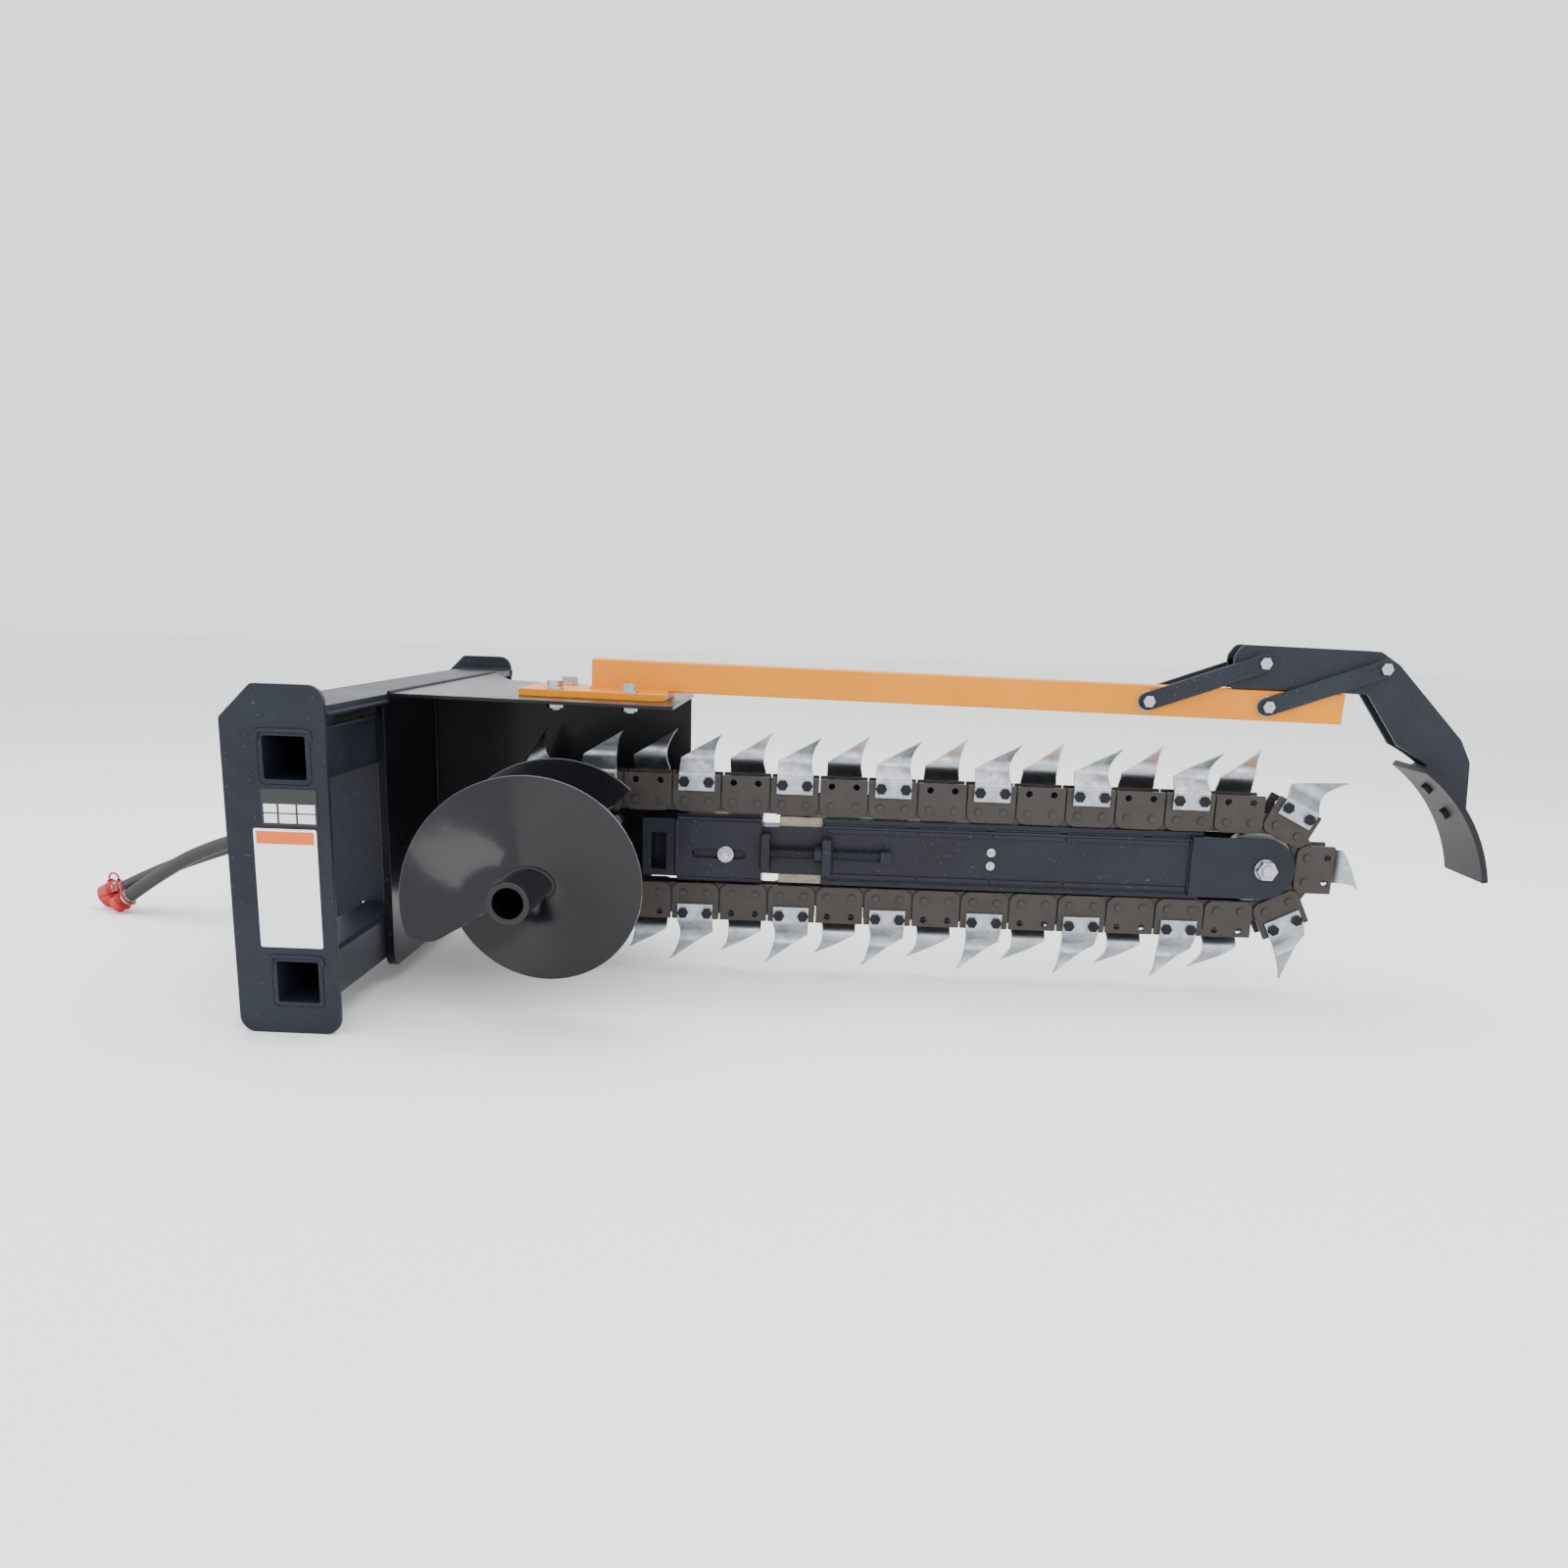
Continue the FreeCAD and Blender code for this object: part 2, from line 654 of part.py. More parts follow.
# The plate's middle line: up the bracket, in over the chain, and back out to the tip.
bend_up = size("link_outward") + 1.6
fold_w, fold_u = 0.7, bend_up + bracket_in + tooth_t / 2 - 0.7
tip_w = 45.4
tip_u = fold_u + tip_w - fold_w
skew = tooth_t / 2 * math.sqrt(2)
near_bend = tooth_t / 2 * (math.sqrt(2) - 1)
fold_radius = 20
tooth_outline = [
    (bracket_in, bracket_low), (bracket_in, bend_up - near_bend, 3),
    (fold_w - skew, fold_u, fold_radius + tooth_t / 2),
    (tip_w - skew / 2, tip_u + skew / 2), (tip_w + skew / 2, tip_u - skew / 2),
    (fold_w + skew, fold_u, fold_radius - tooth_t / 2),
    (bracket_out, bend_up + near_bend, 9), (bracket_out, bracket_low)]
tooth_wire = Part.Wire([edge.toShape() for edge in closed_profile(tooth_outline)])
tooth_bar = Part.Face(tooth_wire).extrude(V(0, 0, 100))
# drawn with a = out from the link and b = outward from the chain, then stood along the link
tooth_bar.Placement = FreeCAD.Placement(V(50, 0, 0), FreeCAD.Rotation(-AXIS_Y, AXIS_Z, -AXIS_X, "XYZ"))
tip_lead = 43.5
side_wire = Part.Wire([
    Part.LineSegment(V(-tooth_half, bracket_low, 0), V(tooth_half, bracket_low, 0)).toShape(),
    Part.LineSegment(V(tooth_half, bracket_low, 0), V(tooth_half, 50, 0)).toShape(),
    Part.Arc(V(tooth_half, 50, 0), V(tooth_half - 2.5, 82, 0), V(tip_lead, blade_top, 0)).toShape(),
    Part.LineSegment(V(tip_lead, blade_top, 0), V(1 - tooth_half, 72, 0)).toShape(),
    Part.LineSegment(V(1 - tooth_half, 72, 0), V(-tooth_half, bracket_low, 0)).toShape(),
])
side_bar = upright(Part.Face(side_wire).extrude(V(0, 0, 120)))
tooth = tooth_bar.common(side_bar)
bolt_r = 5
for s in (-half_pitch, half_pitch):
    tooth = tooth.cut(rod(bolt_hole_r, V(s, -60, bolt_row), V(s, -20, bolt_row)))
tooth_far = tooth.mirror(V(0, 0, 0), AXIS_Y)
near_tooth_links = outer_links[1::2]
far_tooth_links = outer_links[0::2]
print("tooth volume", round(tooth.Volume), "mm3, rows of", len(near_tooth_links), len(far_tooth_links))
feature("cup_teeth", group(along_chain(tooth, near_tooth_links)
                           + along_chain(tooth_far, far_tooth_links)))

bolt_solids = []
nut_solids = []
nut_in = outer_in - 8
for s in (-half_pitch, half_pitch):
    face = V(s, -bracket_out, bolt_row)
    bolt_solids.append(hex_prism(17, face - V(0, 6.5, 0), face).fuse(
        rod(bolt_r, face, V(s, 1 - nut_in, bolt_row))))
    nut_solids.append(hex_prism(17, V(s, -outer_in, bolt_row), V(s, -nut_in, bolt_row), bolt_r + 0.05))
near_bolts = group(bolt_solids + nut_solids)
bolt_rows_placed = along_chain(near_bolts, near_tooth_links)
bolt_rows_placed += along_chain(near_bolts.mirror(V(0, 0, 0), AXIS_Y), far_tooth_links)
feature("tooth_bolts", group(solid for row in bolt_rows_placed for solid in row.Solids))

# ---- boom foot, fixed to the housing wall ----------------------------------

beam_half = size("beam_width") / 2
beam_low = size("beam_low")
beam_high = size("beam_high")
base_start = size("base_start")
sleeve_start = size("sleeve_start")
sleeve_end = size("sleeve_end")
foot_block = block(base_start, sleeve_start, chain_y - beam_half, chain_y + beam_half,
                   beam_low - 3, beam_high + 3)
foot_block = foot_block.cut(block(base_start + 15, base_start + 41, chain_y - beam_half - 1,
                                  chain_y + beam_half - 8, beam_low + 8, beam_high - 22))
foot_arm = block(base_start, sleeve_start, chain_y + beam_half, wall_inner, beam_low + 4, beam_high - 8)
foot_arm = foot_arm.cut(block(base_start + 8, sleeve_start - 8, chain_y + beam_half, wall_inner + 1,
                              beam_low + 12, beam_high - 16))
feature("boom_base", foot_block.fuse(foot_arm).removeSplitter())

slide_half = 25.8
slide_low, slide_high = 184.2, 265.8
slide_gap = 0.5
sleeve_half = 36
sleeve_low, sleeve_high = 173, 277
slot_z = size("slot_height")
sleeve = block(sleeve_start, sleeve_end, chain_y - sleeve_half, chain_y + sleeve_half,
               sleeve_low, sleeve_high)
sleeve = sleeve.cut(block(sleeve_start - 1, sleeve_end + 1, chain_y - slide_half - slide_gap,
                          chain_y + slide_half + slide_gap, slide_low - slide_gap,
                          slide_high + slide_gap))
slot_start, slot_end, slot_half_height = 625, 717, 8
slot_cut = upright(flat_face(box_outline(slot_start, slot_z - slot_half_height, slot_end,
                                         slot_z + slot_half_height,
                                         slot_half_height - 0.001)).extrude(V(0, 0, 100)))
sleeve = sleeve.cut(moved(slot_cut, V(0, chain_y + 50, 0)))
rail_half = size("rail_width") / 2
rail_top = beam_high + size("rail_height") + 0.5
rail_foot = beam_low - size("rail_height") - 0.5
for rail_z0, rail_z1 in ((sleeve_high, rail_top), (rail_foot, sleeve_low)):
    sleeve = sleeve.fuse(block(sleeve_start, sleeve_end, chain_y - rail_half, chain_y + rail_half,
                               rail_z0, rail_z1))
feature("boom_sleeve", sleeve.removeSplitter())

screw_y = -size("screw_offset")
screw_z = size("screw_height")
screw_r = size("screw_diameter") / 2
stop_start = sleeve_end
stop_end = stop_start + 15
feature("tension_stop_block", block(stop_start, stop_end, screw_y - 14, chain_y - slide_half - 1,
                                    192, 256))

# ---- sliding boom ----------------------------------------------------------

beam_start = size("beam_start")
beam_end = size("beam_end")
wall = size("beam_wall")
slide_start = 626
slide_tube = block(slide_start, 905, chain_y - slide_half, chain_y + slide_half,
                   slide_low, slide_high)
slide_tube = slide_tube.cut(block(slide_start - 1, 906, chain_y - slide_half + 6,
                                  chain_y + slide_half - 6, slide_low + 6, slide_high - 6))
clamp_x = size("clamp_across")
clamp_r = 7
clamp_hole = rod(clamp_r + 0.1, V(clamp_x, chain_y - 60, slot_z), V(clamp_x, chain_y + 60, slot_z))
feature("boom_slide_tube", slide_tube.cut(clamp_hole))
beam_outline = box_outline(-beam_half, beam_low, beam_half, beam_high, 4)
beam_bore = box_outline(wall - beam_half, beam_low + wall, beam_half - wall, beam_high - wall, 0)
plate("boom_beam", "YZ_Plane", [beam_outline, beam_bore], "Sizes.beam_end - Sizes.beam_start",
      {"x": "Sizes.beam_start", "y": "-Sizes.chain_middle"})
rail_high = beam_high + size("rail_height")
rail_low = beam_low - size("rail_height")
rails = [block(beam_start, beam_end, chain_y - rail_half, chain_y + rail_half, beam_high, rail_high),
         block(beam_start, beam_end, chain_y - rail_half, chain_y + rail_half, rail_low, beam_low)]
feature("wear_rails", group(rails))
strip_start = 774
strip_half = 16
strips = [block(strip_start, beam_start, chain_y - strip_half, chain_y + strip_half,
                slide_high, rail_high),
          block(strip_start, beam_start, chain_y - strip_half, chain_y + strip_half,
                rail_low, slide_low)]
feature("slide_strips", group(strips))
guide_height = 7
guide_depth = 4
guide_runs = ((856, 1010), (1014, 1136), (1140, 1262), (1266, 1474))
guides = []
for side in (-1, 1):
    face_y = chain_y + side * (beam_half + guide_depth / 2)
    for x0, x1 in guide_runs:
        for z in (beam_high - 12, beam_low + 4):
            guides.append(block(x0, x1, face_y - guide_depth / 2, face_y + guide_depth / 2,
                                z, z + guide_height))
feature("boom_guide_strips", group(guides))

bracket_x0, bracket_x1 = beam_start, beam_start + 16
near_face = chain_y - beam_half
bracket = block(bracket_x0, bracket_x1, screw_y - 14, near_face, 190, 252)
bracket = bracket.cut(rod(screw_r + 0.5, V(bracket_x0 - 1, screw_y, screw_z),
                          V(bracket_x1 + 1, screw_y, screw_z)))
feature("tension_bracket", bracket)
feature("tension_lock_nut", hex_prism(24, V(bracket_x0 - 13, screw_y, screw_z),
                                      V(bracket_x0, screw_y, screw_z), screw_r + 0.3))
screw_tip = V(stop_end + 0.4, screw_y, screw_z)
screw_head = V(948, screw_y, screw_z)
head_half = 9.5
screw = rod(screw_r, screw_tip, screw_head).fuse(
    block(948, 969, screw_y - head_half, screw_y + head_half, screw_z - head_half,
          screw_z + head_half))
feature("tension_screw", screw)

washer_gap = 0.4
clamp_near = chain_y - sleeve_half - washer_gap
clamp_far = chain_y + sleeve_half + washer_gap
clamp_axis = V(clamp_x, 0, slot_z)
clamp_bolt = rod(clamp_r, clamp_axis + V(0, clamp_near - 20, 0), clamp_axis + V(0, clamp_far + 3, 0))
clamp_bolt = clamp_bolt.fuse(hex_prism(21, clamp_axis + V(0, clamp_far + 3, 0),
                                       clamp_axis + V(0, clamp_far + 12, 0)))
clamp_washers = [
    rod(14, clamp_axis + V(0, clamp_near - 3, 0), clamp_axis + V(0, clamp_near, 0), clamp_r + 0.05),
    rod(14, clamp_axis + V(0, clamp_far, 0), clamp_axis + V(0, clamp_far + 3, 0), clamp_r + 0.05)]
clamp_nut = hex_prism(21, clamp_axis + V(0, clamp_near - 15, 0),
                      clamp_axis + V(0, clamp_near - 3, 0), clamp_r + 0.05)
feature("clamp_bolt", group([clamp_bolt, clamp_nut] + clamp_washers))
plug_x = 1139
plugs = []
for plug_z in (213, 236):
    start = V(plug_x, near_face, plug_z)
    plugs.append(rod(7.5, start, start - V(0, 4, 0)).fuse(rod(3.5, start, start - V(0, 9, 0))))
feature("grease_plugs", group(plugs))

yoke_r = size("yoke_radius")
yoke_start = 1478
yoke_outline = [(yoke_start, axis_z - yoke_r), (nose.x + yoke_r, axis_z - yoke_r, yoke_r - 0.01),
                (nose.x + yoke_r, axis_z + yoke_r, yoke_r - 0.01), (yoke_start, axis_z + yoke_r)]
axle_r = size("axle_diameter") / 2
yoke_hole = [(nose.x, axis_z, axle_r + 0.1)]
yoke = upright(flat_face(yoke_outline, yoke_hole).extrude(V(0, 0, size("yoke_plate"))))
feature("nose_yokes", group([moved(yoke, V(0, chain_y - beam_half, 0)),
                             moved(yoke, V(0, chain_y + beam_half + size("yoke_plate"), 0))]))


def at_nose(y):
    return V(nose.x, y, axis_z)


yoke_near = chain_y - beam_half - size("yoke_plate")
yoke_far = chain_y + beam_half + size("yoke_plate")
axle = rod(axle_r, at_nose(yoke_near - 24), at_nose(yoke_far + 24))
axle_nuts = []
axle_washers = []
for side, face in ((-1, yoke_near), (1, yoke_far)):
    inner = at_nose(face)
    step = V(0, side, 0)
    axle_washers.append(rod(18, inner, inner + step * 3, axle_r + 0.05))
    axle_nuts.append(hex_prism(30, inner + step * 3, inner + step * 19, axle_r + 0.05))
feature("nose_axle", group([axle] + axle_nuts + axle_washers))

roller_face = 15
race_r = 23.5
idler_r = nose_radius - roller_r - 0.5
idler = rod(idler_r, at_nose(chain_y - roller_face), at_nose(chain_y + roller_face), race_r + running)
feature("idler_roller", idler)
bearings = []
spacers = []
for side in (-1, 1):
    outer_side = at_nose(chain_y + side * roller_face)
    inner_side = at_nose(chain_y + side * (roller_face - 14))
    bearings.append(rod(race_r, outer_side, inner_side, axle_r + 0.05))
    yoke_inner = at_nose(chain_y + side * beam_half)
    spacers.append(rod(16, outer_side, yoke_inner, axle_r + 0.05))
feature("idler_bearings", group(bearings + spacers))

# ---- crumber bar, bolted to the deck ---------------------------------------

flange_t = size("flange_plate")
flange_outline = [(198, chain_y - 90), (438, chain_y - 90, 22), (438, chain_y + 90, 22),
                  (198, chain_y + 90)]
flange = plate("crumber_flange", "XY_Plane", [flange_outline], "Sizes.flange_plate", {}, deck_holes)
flange.Placement = deck

bar_half = size("bar_size") / 2
bar_bore = bar_half - size("bar_wall")
bar_level = flange_t + bar_half
bar_start = size("bar_start")
pivot_level = flange_t + bar_half - 1
pivot_bar_a = 1238.5
pivot_bar_b = pivot_bar_a + size("link_spacing")
bar_body = plate("crumber_bar", "YZ_Plane",
                 [box_outline(-bar_half, -bar_half, bar_half, bar_half, 3),
                  box_outline(-bar_bore, -bar_bore, bar_bore, bar_bore)],
                 "Sizes.bar_length", {})
bar_holes = bar_body.newObject("Sketcher::SketchObject", "crumber_bar_holes")
bar_support = next(f for f in bar_body.Origin.OriginFeatures if f.Role == "XZ_Plane")
bar_holes.AttachmentSupport = [(bar_support, "")]
bar_holes.MapMode = "FlatFace"
for pivot_x in (pivot_bar_a, pivot_bar_b):
    spot = V(pivot_x - bar_start, pivot_level - bar_level, 0)
    bar_holes.addGeometry(Part.Circle(spot, AXIS_Z, 6.1), False)
bar_drill = bar_body.newObject("PartDesign::Pocket", "crumber_bar_drill")
bar_drill.Profile = bar_holes
bar_drill.Midplane = True
bar_drill.Length = 2 * size("bar_size")
bar_body.Tip = bar_drill
bar_body.Placement = deck.multiply(FreeCAD.Placement(V(bar_start, chain_y, bar_level),
                                                     FreeCAD.Rotation()))

flange_bolts = []
for x in bolt_columns:
    for y in bolt_rows:
        top = V(x, y, flange_t)
        low = V(x, y, -size("deck_plate"))
        bolt = hex_prism(24, top + AXIS_Z * 3, top + AXIS_Z * 14)
        bolt = bolt.fuse(rod(8, low - AXIS_Z * 16, top + AXIS_Z * 3))
        bolt = bolt.fuse(rod(15, top, top + AXIS_Z * 3))
        flange_bolts.append(bolt)
        flange_bolts.append(hex_prism(24, low - AXIS_Z * 13, low, 8.05))
feature("flange_bolts", group(flange_bolts), deck)

# Parallel links carry the crumber arm, so it lifts level and folds back.
link_t = size("link_plate")
spacer_t = size("spacer")
link_out = bar_half + spacer_t + link_t
crumb_r = 6
rise = math.radians(size("link_rise"))
link_reach = V(math.cos(rise), 0, math.sin(rise)) * size("crumb_link")
pivots = {}
pivots["bar_a"] = V(pivot_bar_a, chain_y, pivot_level)
pivots["bar_b"] = V(pivot_bar_b, chain_y, pivot_level)
pivots["arm_a"] = pivots["bar_a"] + link_reach
pivots["arm_b"] = pivots["bar_b"] + link_reach
for key, pivot in pivots.items():
    place = deck.multVec(pivot)
    print("pivot", key, round(place.x, 2), round(place.z, 2))
link_gap = 0.4
pivot_bore = crumb_r + running


def crumb_link(start):
    """Two flat links, one on each side of the bar, from a bar pivot to an arm pivot."""
    length = size("crumb_link")
    half = size("link_width") / 2
    outline = [(-half, -half, half - 0.01), (length + half, -half, half - 0.01),
               (length + half, half, half - 0.01), (-half, half, half - 0.01)]
    holes = [(0, 0, pivot_bore), (length, 0, crumb_r + 0.1)]
    bar = upright(flat_face(outline, holes).extrude(V(0, 0, link_t)))
    bar.rotate(V(0, 0, 0), AXIS_Y, -size("link_rise"))
    sides = [moved(bar, start + V(0, -bar_half - spacer_t, 0)),
             moved(bar, start + V(0, bar_half + spacer_t + link_t, 0))]
    return group(sides)


feature("front_links", crumb_link(pivots["bar_b"]), deck)
feature("rear_links", crumb_link(pivots["bar_a"]), deck)


def pivot_bolt(pivot, gap):
    """A bolt across both links, its head clear of the link by the gap."""
    near = pivot - V(0, link_out + gap, 0)
    far = pivot + V(0, link_out + gap + 13, 0)
    return hex_prism(18, near - V(0, 8, 0), near).fuse(rod(crumb_r, near, far))


def pivot_nut(pivot, gap):
    far = pivot + V(0, link_out + gap, 0)
    return hex_prism(18, far, far + V(0, 10, 0), crumb_r + 0.05)


def spacer_rings(pivot):
    """Rings on the faces of the bar or the arm that hold the links off them."""
    rings = []
    for side in (-1, 1):
        start = pivot + V(0, side * bar_half, 0)
        end = pivot + V(0, side * (bar_half + spacer_t - 0.3), 0)
        rings.append(rod(17, start, end, crumb_r + 1))
    return rings


bar_pivots = [pivots["bar_a"], pivots["bar_b"]]
bar_hardware = []
for pivot in bar_pivots:
    bar_hardware += [pivot_bolt(pivot, link_gap), pivot_nut(pivot, link_gap)] + spacer_rings(pivot)
feature("bar_pivot_bolts", group(bar_hardware), deck)
feature("rear_arm_bolt", group([pivot_bolt(pivots["arm_a"], 0), pivot_nut(pivots["arm_a"], 0)]), deck)
feature("front_arm_bolt", group([pivot_bolt(pivots["arm_b"], 0), pivot_nut(pivots["arm_b"], 0)]), deck)

# ---- crumber arm and shoe --------------------------------------------------

shoe_middle = V(1680.4, 0, 167.6)
shoe_face = 280
shoe_t = size("shoe_plate")
bracket_t = 8
shoe_start_angle, shoe_end_angle = 11, 56


def curved_plate(inner, thick, start, end, width):
    """Part of a ring about the shoe's centre, with its width across the chain."""
    ring = rod(inner + thick, shoe_middle + V(0, chain_y - width / 2, 0),
               shoe_middle + V(0, chain_y + width / 2, 0), inner)
    reach = 400
    start_a, end_a = math.radians(start), math.radians(end)
    middle_a = (start_a + end_a) / 2
    wedge = [(0, 0)] + [(reach * math.cos(a), reach * math.sin(a)) for a in (start_a, middle_a, end_a)]
    cutter = upright(flat_face(wedge).extrude(V(0, 0, width + 2)))
    return ring.common(moved(cutter, shoe_middle + V(0, chain_y + width / 2 + 1, 0)))


def shoe_point(angle, radius, y=0):
    a = math.radians(angle)
    return shoe_middle + V(radius * math.cos(a), chain_y + y, radius * math.sin(a))


shoe_bolt_angles = (46.3, 35)
shoe_bolt_r = 6
shoe_head_flats = 19
shoe = curved_plate(shoe_face, shoe_t, shoe_start_angle, shoe_end_angle, size("shoe_width"))
bracket_start, bracket_end = 31, 54
shoe_bracket = curved_plate(shoe_face + shoe_t, bracket_t, bracket_start, bracket_end, 64)
shoe_bolts = []
shoe_nuts = []
for angle in shoe_bolt_angles:
    low = shoe_point(angle, shoe_face - 4)
    face = shoe_point(angle, shoe_face - 0.4)
    back = shoe_point(angle, shoe_face + shoe_t + bracket_t)
    outward = (back - low).normalize()
    hole = rod(shoe_bolt_r + 0.2, low, back + outward * 4)
    shoe = shoe.cut(hole)
    shoe_bracket = shoe_bracket.cut(hole)
    low_head = hex_prism(shoe_head_flats, face - outward * 8, face)
    shoe_bolts.append(low_head.fuse(rod(shoe_bolt_r, face, back + outward * 14)))
    seat = back + outward * 0.5
    shoe_nuts.append(hex_prism(18, seat, seat + outward * 10, shoe_bolt_r + 0.05))
feature("crumber_shoe", shoe)
feature("shoe_bolts", group(shoe_bolts + shoe_nuts))

arm_plate_t = 8
arm_outline = [(1374, 63, 4), (1374, 116, 18), (1386, 134, 14), (1612, 133, 10), (1645, 113, 10),
               (1765, -4, 30), (1785, -40, 20), (1792, -118, 4), (1780, -132), (1704, -76),
               (1600, 63, 4)]
arm_holes = [(pivots["arm_a"].x, pivots["arm_a"].z, pivot_bore),
             (pivots["arm_b"].x, pivots["arm_b"].z, crumb_r + 1)]
arm_side = upright(flat_face(arm_outline, arm_holes).extrude(V(0, 0, arm_plate_t)))
arm_side.Placement = deck.multiply(arm_side.Placement)
bracket_back = shoe_face + shoe_t + bracket_t
arm_side = arm_side.cut(rod(bracket_back, shoe_middle - AXIS_Y * 100, shoe_middle + AXIS_Y * 100))
arm = moved(arm_side, V(0, chain_y - bar_half + arm_plate_t, 0))
web_half = bar_half - arm_plate_t
web_outlines = [box_outline(1392, 124, 1600, 131), box_outline(1380, 65, 1594, 71),
                [(1662, 93), (1762, -5), (1781, -41), (1773, -44), (1756, -10), (1656, 87)]]
arm_parts = [moved(arm_side, V(0, chain_y + bar_half, 0)), shoe_bracket]
for outline in web_outlines:
    web = upright(flat_face(outline).extrude(V(0, 0, 2 * web_half)))
    web = moved(web, V(0, chain_y + web_half, 0))
    web.Placement = deck.multiply(web.Placement)
    arm_parts.append(web)
for key in ("arm_a", "arm_b"):
    middle = pivots[key]
    tube = rod(13, middle - V(0, web_half, 0), middle + V(0, web_half, 0), crumb_r + 1)
    for ring in [tube] + spacer_rings(middle):
        ring.Placement = deck.multiply(ring.Placement)
        arm_parts.append(ring)
for welded in arm_parts:
    arm = arm.fuse(welded)
feature("crumber_arm", arm.removeSplitter())

# ---- hydraulic hoses -------------------------------------------------------

hose_r = size("hose_diameter") / 2


def cord(label, points, radius):
    """A round tube along straight runs joined by arcs; returns its length."""
    corners = [V(*point) for point in points]
    edges = []
    start = corners[0]
    smallest = None
    for before, here, after in zip(corners, corners[1:], corners[2:]):
        back = before - here
        ahead = after - here
        turn = math.pi - back.getAngle(ahead)
        reach = 0.45 * min(back.Length, ahead.Length)
        bend = reach / math.tan(turn / 2)
        smallest = min(bend, smallest or bend)
        arc_start = here + back.normalize() * reach
        arc_end = here + ahead.normalize() * reach
        top = here + (back + ahead).normalize() * (bend / math.cos(turn / 2) - bend)
        edges.append(Part.LineSegment(start, arc_start).toShape())
        edges.append(Part.Arc(arc_start, top, arc_end).toShape())
        start = arc_end
    edges.append(Part.LineSegment(start, corners[-1]).toShape())
    path = Part.Wire(edges)
    section = Part.Wire([Part.makeCircle(radius, corners[0], corners[1] - corners[0])])
    tube = path.makePipeShell([section], True, False)
    expected = math.pi * radius ** 2 * path.Length
    print(label, "length", round(path.Length, 1), "tightest bend", round(smallest, 1),
          "volume ratio", round(tube.Volume / expected, 4))
    feature(label, tube)
    return path.Length


hose_start = port_face - 39
far_route = [(hose_start, 134, port_height), (218, 134, 240), (66, 140, 231), (-92, 150, 206),
             (-245, 162, 166), (-392, 174, 117), (-500, 182, 73), (-556, 187, 44.2)]
near_route = [(hose_start, 96, port_height), (218, 96, 240), (66, 104, 233), (-94, 117, 211),
              (-244, 130, 176), (-374, 141, 133), (-468, 147, 79), (-528, 150, 36.2)]
cord("hose_far", far_route, hose_r)
cord("hose_near", near_route, hose_r)

fittings = []
for route in (far_route, near_route):
    port = V(port_face, route[0][1], route[0][2])
    adapter = hex_prism(32, port - AXIS_X * 12, port)
    fittings.append(adapter.fuse(rod(16, V(*route[0]), port - AXIS_X * 12)))
feature("port_fittings", group(fittings))

ferrules = []
couplers = []
caps = []
coupler_sizes = ((far_route, 15, 17, 24, 34), (near_route, 12, 14, 17, 24))
for route, ferrule_long, coupler_long, cap_r, cap_long in coupler_sizes:
    end = V(*route[-1])
    along = (end - V(*route[-2])).normalize()
    ferrule_end = end + along * ferrule_long
    coupler_end = ferrule_end + along * coupler_long
    cap_end = coupler_end + along * (cap_long / 2)
    cap_start = cap_end - along * cap_long
    plug_r = 11
    ferrules.append(rod(hose_r + 1.5, end, ferrule_end))
    couplers.append(rod(plug_r, ferrule_end, coupler_end).fuse(
        rod(cap_r - 4, ferrule_end, ferrule_end + along * 4)))
    cap = rod(cap_r, cap_start, cap_end).cut(rod(plug_r + 0.1, cap_start - along, coupler_end + along))
    caps.append(cap)
    lowest = cap.BoundBox.ZMin
    print("cap lowest", round(lowest, 2), "ferrule lowest", round(ferrules[-1].BoundBox.ZMin, 2))
    up = (AXIS_Z - along * along.z).normalize()
    ring_middle = end + along * 5
    ring = Part.makeTorus(hose_r + 1.7 + 2, 2, ring_middle, along)
    cap_top = cap_start + along * 6 + up * (cap_r + 1.5)
    ring_top = ring_middle + up * (hose_r + 5)
    crest = (cap_top + ring_top) * 0.5 + up * 14
    strap = Part.Wire([Part.Arc(ring_top, crest, cap_top).toShape()])
    first = strap.Edges[0].tangentAt(strap.Edges[0].FirstParameter)
    profile = Part.Wire([Part.makeCircle(2, ring_top, first)])
    collar = rod(cap_r + 2.6, cap_start + along * 4, cap_start + along * 8, cap_r - 1)
    recess = rod(cap_r - 3.8, cap_start - along * 2, ferrule_end + along * 4.2)
    cap = cap.fuse([collar, strap.makePipeShell([profile], True, False)]).cut(recess)
    caps[-1] = cap.fuse(ring)
feature("hose_couplers", group(ferrules + couplers))
feature("dust_caps", group(caps))

# ---- blank plates on the near side -----------------------------------------

plates = []
for x0, z0, x1, z1 in ((54, 310, 134, 362), (40, 131, 131, 305)):
    label_face = upright(flat_face(box_outline(x0, z0, x1, z1, 3)).extrude(V(0, 0, 1)))
    plates.append(moved(label_face, V(0, -half_width, 0)))
feature("blank_plates", group(plates))

# ---- write every sub-part --------------------------------------------------

doc.recompute()
os.makedirs("parts", exist_ok=True)
for piece in pieces:
    state = [word for word in piece.State if word in ("Invalid", "Error")]
    shape = piece.Shape
    if state or shape.isNull() or not shape.isValid():
        raise RuntimeError(piece.Label + " is not sound")
    box = shape.BoundBox
    print("%-26s %2d solids %10.1f cm3  x %7.1f %7.1f  y %7.1f %7.1f  z %7.1f %7.1f" % (
        piece.Label, len(shape.Solids), shape.Volume / 1000,
        box.XMin, box.XMax, box.YMin, box.YMax, box.ZMin, box.ZMax))
    shape.exportStep("parts/" + piece.Label + ".step")
print(len(pieces), "sub-parts written")
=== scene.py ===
import bmesh
import bpy
import json
import math
from mathutils import Matrix, Vector


